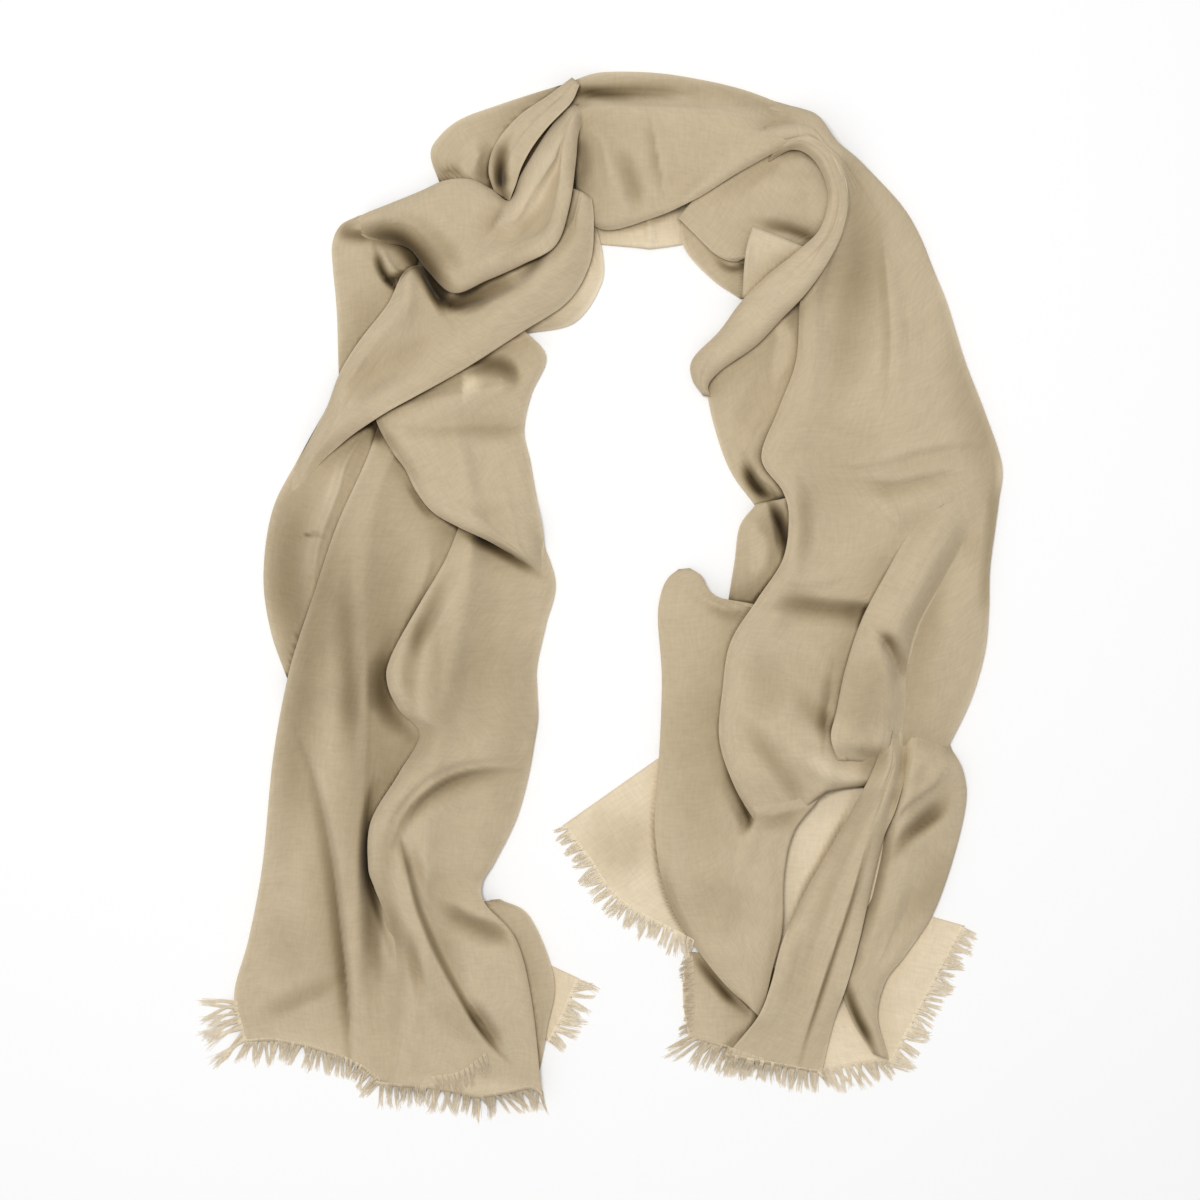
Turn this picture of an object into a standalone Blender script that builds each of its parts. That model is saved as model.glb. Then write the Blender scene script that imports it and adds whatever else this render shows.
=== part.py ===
"""Pashmina shawl of fine woven wool, gathered lengthwise and laid flat in an arch with two hanging legs.

The outline is drawn on a square plan grid, x to the right and y down. Each stretch of cloth is a thin
wall lofted through a short table of sections, and it lies on the pile of stretches made before it.
"""

from collections import namedtuple

import bmesh
import bpy
import numpy as np

# Driving sizes, in metres
SHAWL_LENGTH = 2.00
WALL = 0.0020          # cloth wall
LIE = 0.0003           # clearance between one stretch and the next
ROLL_RADIUS = 0.0075   # how far in from a folded edge the cloth has risen to its full height
CELL_ALONG = 0.0195
CELL_ACROSS = 0.0145
EDGE_CROWDING = 0.45   # how far the columns of points draw together towards the edges, 0 to 1
DRAPE_PASSES = 4       # how far a stretch bridges the hollows under it

# The plan grid: the shawl's centre line runs for 227 steps round the arch
CENTRE_LINE_STEPS = 227.0
STEP = SHAWL_LENGTH / CENTRE_LINE_STEPS
PLAN_CENTRE_X = 60.211
PLAN_CENTRE_Y = 59.466

# The pile is kept as heights on a fine square raster that covers the whole plan
RASTER = 0.00125
RASTER_HALF = (0.38, 0.50)
FACE_SAMPLES = 16

Section = namedtuple("Section", "left_x left_y right_x right_y rise")
Fold = namedtuple("Fold", "from_x from_y to_x to_y reach height")
Strands = namedtuple("Strands", "share length lean")

# Hidden layers: one rounded solid in each part of the pile, flat underneath. Each row is a Section: left
# and right edge on the plan grid, and rise in millimetres.
LAYERS = {
    "layers_left_leg": [
        (36.0, 37.5, 50.5, 36.0, 11),
        (34.0, 46.0, 50.5, 45.0, 13),
        (30.5, 56.0, 52.5, 56.0, 13),
        (30.5, 67.0, 51.5, 67.0, 12),
        (29.0, 80.0, 49.5, 80.0, 11),
        (27.5, 92.0, 48.0, 92.0, 8),
        (27.5, 100.0, 50.0, 100.5, 4),
    ],
    "layers_left_top": [
        (35.5, 25.0, 35.8, 33.5, 8),
        (40.0, 22.5, 41.0, 35.5, 12),
        (45.0, 20.5, 47.0, 34.0, 14),
        (50.0, 21.0, 53.0, 30.5, 13),
        (55.0, 20.0, 57.5, 27.5, 9),
    ],
    "layers_arch": [
        (46.0, 14.0, 50.5, 18.5, 9),
        (52.0, 11.0, 56.0, 18.5, 11),
        (60.0, 9.2, 60.5, 21.5, 10),
        (68.0, 9.2, 67.5, 19.5, 10),
        (76.0, 11.5, 73.5, 19.5, 11),
        (83.0, 15.5, 77.0, 22.0, 12),
        (89.0, 22.0, 80.0, 27.0, 12),
    ],
    "layers_right_leg": [
        (83.5, 29.5, 92.0, 29.0, 11),
        (80.5, 38.0, 95.5, 38.0, 12),
        (78.5, 47.0, 97.8, 47.0, 12),
        (76.0, 56.0, 96.8, 56.0, 12),
        (72.0, 66.0, 96.0, 66.0, 13),
        (71.5, 77.0, 92.5, 77.0, 12),
        (71.5, 88.0, 91.5, 88.0, 7),
        (75.0, 97.0, 87.0, 97.0, 4),
    ],
}
LAYER_CELL = 0.034
DOME_POWER = 2.5       # roundness of a layers solid across its width
END_POWER = 6          # and along its length, where it keeps END_SHARE of its height at the ends
END_SHARE = 0.2

# Stretches of cloth in the order they lie, lowest first. Each has the edges that roll down to the pile, and
# a Section in each row.
STRETCHES = {
    "arch_back": ("left right", [
        (59.0, 19.0, 59.6, 24.3, 1),
        (64.0, 19.0, 64.2, 24.7, 1),
        (68.5, 18.5, 68.4, 24.3, 1),
        (72.0, 18.0, 70.5, 23.5, 1),
    ]),
    "left_back_corner": ("", [
        (50.5, 94.5, 57.9, 98.0, 0),
        (50.0, 98.5, 56.6, 101.2, 0),
        (50.5, 102.0, 55.0, 104.4, 0),
    ]),
    "right_front_corner": ("", [
        (57.0, 82.5, 66.2, 75.9, 0),
        (58.6, 85.8, 69.5, 79.0, 0),
        (62.2, 90.4, 71.5, 85.0, 0),
        (69.8, 94.6, 74.0, 90.5, 0),
    ]),
    "right_outer_corner": ("", [
        (87.0, 90.0, 96.6, 92.7, 0),
        (86.0, 95.0, 94.8, 96.0, 0),
        (85.5, 100.0, 92.3, 100.4, 0),
        (86.5, 104.0, 89.6, 105.2, 0),
    ]),
    "right_under": ("", [
        (75.0, 78.5, 90.0, 78.0, 1),
        (74.5, 88.0, 90.0, 88.0, 1),
        (75.5, 97.0, 88.5, 97.0, 1),
        (81.6, 107.4, 88.8, 106.2, 0),
    ]),
    "inner_back": ("right", [
        (55.0, 20.5, 58.8, 20.0, 1),
        (55.5, 24.0, 60.2, 25.0, 3),
        (54.5, 27.0, 60.1, 28.4, 4),
        (52.5, 29.5, 57.4, 32.2, 4),
        (49.5, 32.0, 52.4, 33.3, 3),
    ]),
    "right_hem_turn": ("left", [
        (68.6, 95.3, 74.5, 95.5, 1),
        (68.3, 98.5, 76.0, 98.0, 1),
        (68.3, 101.5, 76.0, 101.5, 1),
        (67.8, 104.3, 72.0, 105.6, 0),
    ]),
    "right_inner": ("left", [
        (70.8, 35.5, 81.5, 28.5, 3),
        (70.9, 40.2, 81.0, 37.0, 4),
        (72.8, 46.5, 80.0, 44.0, 4),
        (75.6, 50.6, 80.5, 49.0, 3),
    ]),
    "right_inner_gather": ("left", [
        (75.6, 50.4, 80.5, 49.5, 3),
        (74.0, 52.6, 80.5, 53.0, 4),
        (73.5, 56.0, 79.5, 56.5, 4),
        (72.8, 60.4, 77.0, 60.8, 3),
    ]),
    "inner_flap": ("left right", [
        (68.0, 21.8, 72.5, 18.5, 1),
        (68.5, 24.8, 76.0, 22.5, 2),
        (71.2, 27.8, 78.0, 26.0, 3),
        (74.1, 29.8, 79.5, 28.5, 3),
    ]),
    "left_leg_lower_roll": ("right", [
        (46.0, 89.0, 50.2, 89.7, 3),
        (46.5, 92.5, 53.0, 91.8, 6),
        (47.0, 98.0, 55.4, 98.0, 7),
        (48.0, 103.0, 54.9, 103.0, 5),
        (49.0, 108.4, 53.9, 108.6, 1),
    ]),
    "left_loop": ("left right", [
        (33.0, 40.0, 38.5, 42.0, 3),
        (30.0, 45.7, 38.0, 46.5, 5),
        (27.4, 51.0, 37.0, 52.0, 6),
        (26.5, 57.5, 36.0, 58.5, 6),
        (27.2, 63.0, 35.0, 64.0, 5),
        (28.8, 67.8, 34.5, 68.5, 3),
    ]),
    "left_leg_front": ("left right", [
        (38.2, 41.5, 45.0, 41.0, 2),
        (36.7, 46.0, 46.5, 47.0, 4),
        (33.8, 52.5, 47.0, 53.0, 6),
        (31.6, 59.0, 46.5, 59.5, 7),
        (28.9, 67.2, 45.0, 67.0, 7),
        (27.4, 75.5, 43.5, 75.0, 7),
        (26.3, 86.5, 42.5, 86.0, 6),
        (24.9, 94.0, 42.5, 94.0, 5),
        (23.3, 99.6, 41.5, 101.0, 2),
        (24.3, 104.3, 37.0, 108.5, 0),
    ]),
    "left_leg_side": ("left right", [
        (44.5, 51.5, 54.0, 50.0, 3),
        (43.0, 56.5, 55.4, 57.0, 6),
        (41.0, 61.0, 54.4, 62.6, 7),
        (38.0, 66.5, 53.7, 67.5, 8),
        (40.6, 73.0, 53.6, 73.5, 8),
        (37.6, 80.5, 52.2, 80.5, 8),
        (36.8, 86.5, 49.6, 86.2, 7),
        (38.4, 93.5, 48.0, 92.0, 5),
        (39.0, 101.0, 50.0, 100.0, 3),
        (37.0, 108.5, 53.8, 109.5, 0),
    ]),
    "left_leg_upper": ("left right", [
        (37.4, 40.2, 52.2, 32.8, 2),
        (37.6, 41.8, 54.6, 35.6, 5),
        (38.2, 43.8, 53.1, 39.4, 6),
        (40.8, 47.4, 52.4, 43.4, 7),
        (43.6, 51.4, 53.1, 47.0, 7),
        (49.2, 54.4, 54.2, 52.6, 6),
        (53.6, 57.0, 55.4, 57.2, 3),
    ]),
    "left_shoulder": ("left start", [
        (34.0, 22.4, 40.5, 22.5, 3),
        (33.2, 25.5, 41.0, 26.0, 4),
        (33.7, 31.0, 39.5, 30.5, 4),
        (33.8, 37.5, 37.0, 34.5, 2),
    ]),
    "upper_left_loop": ("left", [
        (58.6, 7.6, 60.0, 10.5, 2),
        (54.0, 9.0, 57.5, 13.0, 5),
        (49.5, 10.5, 54.5, 16.0, 6),
        (45.0, 12.4, 53.0, 18.5, 6),
        (43.0, 15.0, 52.0, 21.0, 6),
        (44.1, 18.6, 49.5, 22.5, 4),
    ]),
    "arch": ("left right start", [
        (56.6, 8.4, 57.8, 21.5, 3),
        (60.0, 7.2, 60.6, 23.0, 5),
        (65.0, 7.1, 65.0, 22.0, 5),
        (70.0, 7.8, 69.5, 20.2, 5),
        (74.6, 8.9, 74.0, 17.3, 5),
        (79.0, 10.6, 78.4, 15.0, 4),
        (82.2, 12.2, 80.8, 14.6, 2),
    ]),
    "inner_turn": ("left end", [
        (68.0, 21.6, 72.0, 17.5, 1),
        (70.0, 23.9, 75.0, 19.0, 3),
        (72.2, 25.8, 78.0, 21.0, 4),
        (74.8, 25.6, 80.0, 22.5, 4),
    ]),
    "square_flap": ("left start", [
        (75.2, 22.8, 81.5, 25.4, 2),
        (74.6, 25.0, 81.5, 27.0, 3),
        (74.2, 29.8, 79.5, 29.5, 3),
    ]),
    "right_leg_inner": ("left start", [
        (67.5, 56.9, 69.4, 57.0, 2),
        (66.2, 58.9, 72.0, 59.6, 5),
        (65.8, 62.0, 77.0, 62.0, 6),
        (66.2, 68.0, 77.0, 68.0, 6),
        (65.8, 76.5, 78.5, 76.5, 6),
        (65.6, 84.0, 79.6, 84.0, 6),
        (67.2, 91.2, 78.5, 90.5, 5),
        (70.6, 96.2, 77.4, 96.5, 4),
        (74.2, 100.4, 76.2, 101.6, 1),
    ]),
    "right_main": ("left right end", [
        (79.2, 12.5, 81.6, 11.8, 2),
        (80.0, 16.5, 86.4, 16.6, 5),
        (80.0, 23.0, 91.8, 23.2, 6),
        (80.0, 30.0, 94.8, 30.2, 6),
        (79.6, 35.4, 96.3, 35.4, 6),
        (78.0, 40.6, 98.4, 40.9, 6),
        (76.2, 46.2, 100.3, 47.0, 6),
        (78.6, 51.5, 99.6, 52.5, 6),
        (76.6, 59.0, 99.0, 60.5, 6),
        (72.6, 66.0, 98.0, 67.6, 6),
        (72.1, 74.0, 95.2, 74.2, 6),
        (75.4, 81.4, 92.0, 80.2, 2),
    ]),
    "right_pleat": ("left right start end", [
        (95.0, 48.5, 99.2, 50.0, 1),
        (91.6, 52.4, 97.5, 53.0, 5),
        (88.0, 58.2, 94.0, 59.0, 7),
        (85.0, 64.6, 91.6, 65.0, 8),
        (83.4, 71.6, 90.6, 71.0, 7),
        (83.6, 75.6, 89.0, 75.8, 3),
    ]),
    "right_leg_outer": ("left right start", [
        (91.0, 73.6, 95.0, 74.6, 2),
        (89.2, 80.0, 96.7, 79.6, 6),
        (88.0, 86.0, 95.4, 86.0, 6),
        (85.8, 92.0, 93.0, 92.0, 5),
        (85.0, 98.0, 88.8, 98.2, 3),
        (87.6, 104.6, 88.8, 105.2, 0),
    ]),
    "right_strap": ("left right start", [
        (88.4, 70.0, 91.2, 69.6, 1),
        (87.6, 76.0, 90.6, 76.4, 6),
        (84.2, 82.8, 88.8, 83.0, 7),
        (80.4, 89.6, 87.0, 89.4, 7),
        (77.8, 96.6, 84.8, 96.6, 5),
        (74.8, 102.8, 83.4, 102.4, 3),
        (72.6, 105.7, 82.2, 107.5, 0),
    ]),
    "right_roll": ("left right start end", [
        (77.6, 15.2, 81.4, 14.2, 2),
        (79.2, 19.6, 84.5, 18.4, 6),
        (78.6, 25.0, 83.2, 25.4, 7),
        (75.0, 29.4, 79.6, 31.0, 7),
        (71.6, 32.6, 75.8, 34.6, 6),
        (69.2, 36.0, 71.6, 37.6, 5),
        (70.2, 39.0, 71.2, 39.4, 2),
    ]),
    "long_fold": ("left right end", [
        (57.0, 19.0, 59.3, 20.6, 2),
        (54.0, 23.0, 59.6, 24.8, 4),
        (49.6, 25.6, 57.4, 29.8, 6),
        (45.0, 27.0, 52.6, 33.0, 7),
        (40.8, 28.2, 46.4, 37.0, 7),
        (37.8, 32.0, 41.6, 39.8, 7),
        (34.4, 35.4, 37.6, 42.0, 6),
        (32.6, 40.8, 34.6, 44.0, 4),
        (29.4, 46.9, 31.0, 47.6, 1),
    ]),
    "knot": ("left right start end", [
        (34.4, 22.2, 34.6, 24.2, 2),
        (38.0, 20.7, 38.4, 24.0, 5),
        (42.0, 19.1, 41.6, 25.4, 7),
        (45.5, 17.9, 44.4, 29.0, 8),
        (48.4, 18.4, 47.6, 28.6, 8),
        (50.7, 20.0, 52.4, 26.5, 8),
        (52.3, 17.4, 56.2, 23.6, 7),
        (53.9, 14.8, 57.3, 18.6, 6),
        (55.8, 11.8, 57.5, 13.6, 2),
    ]),
    "upper_left_roll": ("left right start", [
        (57.2, 7.9, 58.0, 8.7, 1),
        (54.5, 10.0, 56.6, 11.2, 5),
        (52.0, 11.8, 54.6, 13.2, 7),
        (49.8, 14.4, 52.8, 15.8, 7),
        (49.0, 17.4, 51.6, 18.4, 5),
    ]),
}

# The largest folds within a stretch, a Fold in each row: its ends on the plan grid, and its half width
# and height in millimetres. A negative height is a trough.
FOLDS = {
    "left_leg_front": [
        (35.0, 58.0, 34.6, 72.0, 14, -4),
        (43.0, 53.0, 42.0, 64.0, 14, 4),
        (30.0, 72.0, 34.0, 101.0, 16, 4),
        (37.5, 74.0, 37.0, 92.0, 16, -4),
    ],
    "left_leg_side": [
        (52.0, 77.0, 42.5, 79.5, 14, 4),
        (42.5, 79.5, 38.5, 86.0, 14, 4),
        (41.0, 85.0, 47.5, 101.0, 14, -4),
    ],
    "left_leg_upper": [
        (42.0, 42.5, 52.0, 42.0, 15, -3),
    ],
    "arch": [
        (57.5, 11.2, 81.0, 11.6, 12, 4),
    ],
    "right_main": [
        (86.5, 20.0, 89.5, 34.0, 16, 3),
        (77.5, 61.5, 88.0, 60.5, 14, -4),
        (78.0, 67.0, 83.0, 73.0, 14, -3),
        (96.0, 54.0, 90.8, 68.0, 14, -4),
    ],
    "right_leg_outer": [
        (94.0, 77.0, 88.5, 85.0, 12, 3),
    ],
    "knot": [
        (55.5, 13.5, 49.0, 23.5, 13, 3),
    ],
    "long_fold": [
        (55.5, 26.0, 38.0, 37.0, 14, 3),
    ],
}

# Fringes: the number of strands, the cut edges that they hang from (stretch, side, and from which share
# of it to which), and rows of share along the hem, strand length in millimetres and lean in degrees.
FRINGES = {
    "fringe_left_side": (7, [("left_leg_front", "left", 0.92, 1.0)], [
        (0.0, 27, -8),
        (0.5, 31, 0),
        (1.0, 29, 15),
    ]),
    "fringe_left_hem": (32, [("left_leg_front", "end", 0.0, 1.0), ("left_leg_side", "end", 0.0, 1.0)], [
        (0.0, 22, 5),
        (0.3, 18, 20),
        (0.6, 20, 0),
        (1.0, 22, 25),
    ]),
    "fringe_left_back": (9, [("left_back_corner", "right", 0.0, 1.0)], [
        (0.0, 19, -30),
        (0.5, 20, 5),
        (1.0, 18, 10),
    ]),
    "fringe_right_front": (19, [("right_front_corner", "left", 0.0, 0.86)], [
        (0.0, 16, -10),
        (0.5, 20, 5),
        (1.0, 20, 15),
    ]),
    "fringe_right_turn": (5, [("right_hem_turn", "end", 0.0, 1.0)], [
        (0.0, 19, -35),
        (1.0, 18, 10),
    ]),
    "fringe_right_hem": (18, [("right_strap", "end", 0.0, 1.0), ("right_under", "end", 0.12, 1.0)], [
        (0.0, 18, 5),
        (0.6, 21, 15),
        (1.0, 19, -10),
    ]),
    "fringe_right_outer": (16, [("right_outer_corner", "right", 0.0, 1.0)], [
        (0.0, 16, -15),
        (0.5, 20, 10),
        (1.0, 21, 15),
    ]),
}
HEM_PART = 0.0005      # the strip's clearance from the cloth's edge
STRIP_WIDTH = 0.0020
STRIP_THICKNESS = 0.0012
STRAND_TIP_SHARE = 0.35
STRAND_TIP_LIFT = 0.0004

CLOTH_COLOUR = (0.585, 0.462, 0.306, 1.0)
FRINGE_COLOUR = (0.680, 0.560, 0.400, 1.0)


def clear_scene():
    for item in list(bpy.data.objects):
        bpy.data.objects.remove(item)


def cloth_material(name, colour):
    material = bpy.data.materials.new(name)
    material.use_nodes = True
    shader = material.node_tree.nodes["Principled BSDF"]
    shader.inputs["Base Color"].default_value = colour
    shader.inputs["Roughness"].default_value = 0.9
    shader.inputs["Metallic"].default_value = 0.0
    return material


def plan_to_metres(x, y):
    """A plan point in metres, with +Y away from the legs."""
    return (np.asarray(x) - PLAN_CENTRE_X) * STEP, (PLAN_CENTRE_Y - np.asarray(y)) * STEP


def smooth_curve(values, positions):
    """Each column of values at fractional row positions, on a Catmull-Rom curve through the rows."""
    values = np.asarray(values, float)
    padded = np.vstack([2 * values[0] - values[1], values, 2 * values[-1] - values[-2]])
    row = np.clip(np.floor(positions).astype(int), 0, len(values) - 2)
    t = (positions - row)[:, None]
    before, start, end, after = (padded[row + k] for k in range(4))
    bend = 2 * before - 5 * start + 4 * end - after
    lean = 3 * start - before - 3 * end + after
    return start + 0.5 * t * (end - before + t * (bend + t * lean))


def even_positions(x, y, cell):
    """Row positions about one cell apart along a smooth curve through the points."""
    fine = np.linspace(0, len(x) - 1, 12 * len(x))
    line = smooth_curve(np.column_stack([x, y]), fine)
    length = np.concatenate([[0], np.cumsum(np.hypot(*np.diff(line, axis=0).T))])
    count = max(3, round(length[-1] / cell) + 1)
    return np.interp(np.linspace(0, length[-1], count), length, fine)


def loft(table, cell_along, cell_across):
    """Plan positions and rise on a grid lofted through the sections, with columns closer near the edges."""
    rows = [Section(*row) for row in table]
    left = np.column_stack(plan_to_metres([r.left_x for r in rows], [r.left_y for r in rows]))
    right = np.column_stack(plan_to_metres([r.right_x for r in rows], [r.right_y for r in rows]))
    middle = (left + right) / 2
    positions = even_positions(middle[:, 0], middle[:, 1], cell_along)
    left = smooth_curve(left, positions)
    right = smooth_curve(right, positions)
    rise = smooth_curve([[r.rise * 0.001] for r in rows], positions)
    width = np.hypot(*(right - left).T)[:, None]
    count = max(5, round(float(np.percentile(width, 75)) / cell_across) + 1)
    share = np.linspace(0, 1, count)
    share = share + EDGE_CROWDING * ((1 - np.cos(np.pi * share)) / 2 - share)
    x = left[:, :1] + (right - left)[:, :1] * share
    y = left[:, 1:] + (right - left)[:, 1:] * share
    return x, y, np.maximum(rise, 0)


class Pile:
    """Heights of what lies on the floor so far. The bare floor is one clearance low, so cloth rests on it."""

    def __init__(self):
        cells = [int(2 * half / RASTER) + 1 for half in RASTER_HALF]
        self.height = np.full(cells, -LIE)

    def index(self, x, y):
        column = np.rint((x + RASTER_HALF[0]) / RASTER).astype(int)
        row = np.rint((y + RASTER_HALF[1]) / RASTER).astype(int)
        return column, row

    def highest(self, x, y, reach=1):
        """The greatest height within so many raster cells of each point."""
        column, row = self.index(x, y)
        found = self.height[column, row]
        for across in range(-reach, reach + 1):
            for along in range(-reach, reach + 1):
                found = np.maximum(found, self.height[column + across, row + along])
        return found

    def add(self, points):
        """Lays the faces of a grid of points on the pile."""
        for x, y, z in face_samples(points):
            column, row = self.index(x, y)
            np.maximum.at(self.height, (column, row), z)


def face_samples(points):
    """Sample points on the two triangles of each grid cell, at about the raster's spacing."""
    corner, along, across, far = points[:-1, :-1], points[1:, :-1], points[:-1, 1:], points[1:, 1:]
    for a in range(FACE_SAMPLES + 1):
        for b in range(FACE_SAMPLES + 1 - a):
            s, t = a / FACE_SAMPLES, b / FACE_SAMPLES
            for start, one, two in ((corner, along, far), (corner, far, across)):
                spot = start + s * (one - start) + t * (two - start)
                yield spot[..., 0], spot[..., 1], spot[..., 2]


def settle(z, x, y, pile):
    """Raises the corners of each face that would cut into the pile, then lowers the whole to touch it."""
    for _ in range(12):
        lift = np.full_like(z, -1.0)
        for sx, sy, sz in face_samples(np.stack([x, y, z], axis=-1)):
            short = pile.highest(sx, sy) + LIE - sz
            for block in (lift[:-1, :-1], lift[1:, :-1], lift[:-1, 1:], lift[1:, 1:]):
                np.maximum(block, short, out=block)
        if lift.max() < 1e-5:
            break
        z = z + np.maximum(lift, 0)
    return z + min(lift.max(), 0)


def drape(floor):
    """A taut sheet over the given heights: bridged between high points, never below them."""
    z = floor.copy()
    for _ in range(DRAPE_PASSES):
        padded = np.pad(z, 1, mode="edge")
        around = (padded[:-2, 1:-1] + padded[2:, 1:-1] + padded[1:-1, :-2] + padded[1:-1, 2:]) / 4
        z = np.maximum(floor, around)
    return z


def edge_distances(x, y):
    """Distance of each grid point from the four edges, along the grid's own lines."""
    across = np.hypot(np.diff(x, axis=1), np.diff(y, axis=1))
    along = np.hypot(np.diff(x, axis=0), np.diff(y, axis=0))
    from_left = np.pad(np.cumsum(across, axis=1), ((0, 0), (1, 0)))
    from_start = np.pad(np.cumsum(along, axis=0), ((1, 0), (0, 0)))
    return {
        "left": from_left,
        "right": from_left[:, -1:] - from_left,
        "start": from_start,
        "end": from_start[-1:] - from_start,
    }


def roll_profile(x, y, folded):
    """How far the cloth has risen, 0 to 1, by its distance from the folded edges."""
    shape = np.ones_like(x)
    distances = edge_distances(x, y)
    for edge in folded.split():
        inward = 1 - np.clip(distances[edge] / ROLL_RADIUS, 0, 1)
        shape = np.minimum(shape, np.sqrt(1 - inward**2))
    return shape


def fold_relief(x, y, folds):
    """Height of the soft ridges and troughs at each point."""
    relief = np.zeros_like(x)
    for row in folds:
        fold = Fold(*row)
        (x0, x1), (y0, y1) = plan_to_metres([fold.from_x, fold.to_x], [fold.from_y, fold.to_y])
        length = np.hypot(x1 - x0, y1 - y0)
        share = ((x - x0) * (x1 - x0) + (y - y0) * (y1 - y0)) / length**2
        held = np.clip(share, 0, 1)
        away = np.hypot(x - x0 - held * (x1 - x0), y - y0 - held * (y1 - y0))
        side = np.clip(1 - (away / (fold.reach * 0.001)) ** 2, 0, 1)
        taper = np.sin(np.pi * np.clip(0.12 + 0.76 * held, 0, 1))
        relief += fold.height * 0.001 * side**2 * taper
    return relief


def closed_grid(name, top, bottom, material):
    """One closed body between two grids of points."""
    build = bmesh.new()
    rows, columns = top.shape[:2]
    upper = [[build.verts.new(point) for point in row] for row in top]
    lower = [[build.verts.new(point) for point in row] for row in bottom]
    for i in range(rows - 1):
        for j in range(columns - 1):
            build.faces.new((upper[i][j], upper[i + 1][j], upper[i + 1][j + 1], upper[i][j + 1]))
            build.faces.new((lower[i][j], lower[i][j + 1], lower[i + 1][j + 1], lower[i + 1][j]))
    rim = [(i, 0) for i in range(rows)]
    rim += [(rows - 1, j) for j in range(1, columns)]
    rim += [(i, columns - 1) for i in range(rows - 2, -1, -1)]
    rim += [(0, j) for j in range(columns - 2, 0, -1)]
    for (i, j), (k, m) in zip(rim, rim[1:] + rim[:1]):
        build.faces.new((upper[i][j], lower[i][j], lower[k][m], upper[k][m]))
    finish_body(name, build, material)


def finish_body(name, build, material):
    """Makes the object of a closed body."""
    mesh = bpy.data.meshes.new(name)
    bmesh.ops.triangulate(build, faces=build.faces[:], quad_method="FIXED")
    bmesh.ops.recalc_face_normals(build, faces=build.faces[:])
    build.to_mesh(mesh)
    build.free()
    mesh.shade_smooth()
    mesh.materials.append(material)
    item = bpy.data.objects.new(name, mesh)
    bpy.context.scene.collection.objects.link(item)


def make_layers(name, table, pile, material):
    """A rounded solid of hidden layers, flat on the floor."""
    x, y, rise = loft(table, LAYER_CELL, LAYER_CELL)
    from_left = edge_distances(x, y)["left"]
    dome = 1 - np.abs(2 * from_left / from_left[:, -1:] - 1) ** DOME_POWER
    along = np.linspace(-1, 1, len(x))[:, None]
    z = WALL + rise * dome * (1 - (1 - END_SHARE) * np.abs(along) ** END_POWER)
    top = np.stack([x, y, z], axis=-1)
    bottom = np.stack([x, y, np.zeros_like(z)], axis=-1)
    closed_grid(name, top, bottom, material)
    pile.add(top)


def make_stretch(name, folded, table, pile, material):
    """A wall of cloth that lies on the pile, with its folded edges rolled down to what is under it."""
    x, y, rise = loft(table, CELL_ALONG, CELL_ACROSS)
    floor = pile.highest(x, y, 2) + LIE
    z = drape(floor) + rise * roll_profile(x, y, folded) + fold_relief(x, y, FOLDS.get(name, []))
    z = settle(np.maximum(z, floor), x, y, pile)
    bottom = np.stack([x, y, z], axis=-1)
    top = bottom + (0, 0, WALL)
    closed_grid(name, top, bottom, material)
    pile.add(top)
    return bottom


def edge_line(grid, side, first, last):
    """The points of one side of a stretch between two shares of its length."""
    line = {"left": grid[:, 0], "right": grid[:, -1], "start": grid[0], "end": grid[-1]}[side]
    along = np.linspace(0, 1, len(line))
    wanted = np.linspace(first, last, 4 * len(line))
    return np.column_stack([np.interp(wanted, along, axis) for axis in line.T])


def even_line(points, count):
    """So many points at even distances along a line of points."""
    length = np.concatenate([[0], np.cumsum(np.hypot(*np.diff(points[:, :2], axis=0).T))])
    wanted = np.linspace(0, length[-1], count)
    return np.column_stack([np.interp(wanted, length, axis) for axis in points.T])


def outward_of(line, inside):
    """Unit directions square to the line, away from a point inside the cloth."""
    tangent = np.gradient(line, axis=0)
    normal = np.column_stack([-tangent[:, 1], tangent[:, 0]])
    normal /= np.hypot(*normal.T)[:, None]
    return normal * np.sign(np.sum(normal * (line - inside), axis=1))[:, None]


def leaned(directions, degrees):
    """Directions turned in the plan, one angle for each."""
    turn = np.radians(degrees)
    x = directions[:, 0] * np.cos(turn) - directions[:, 1] * np.sin(turn)
    y = directions[:, 0] * np.sin(turn) + directions[:, 1] * np.cos(turn)
    return np.column_stack([x, y])


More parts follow.
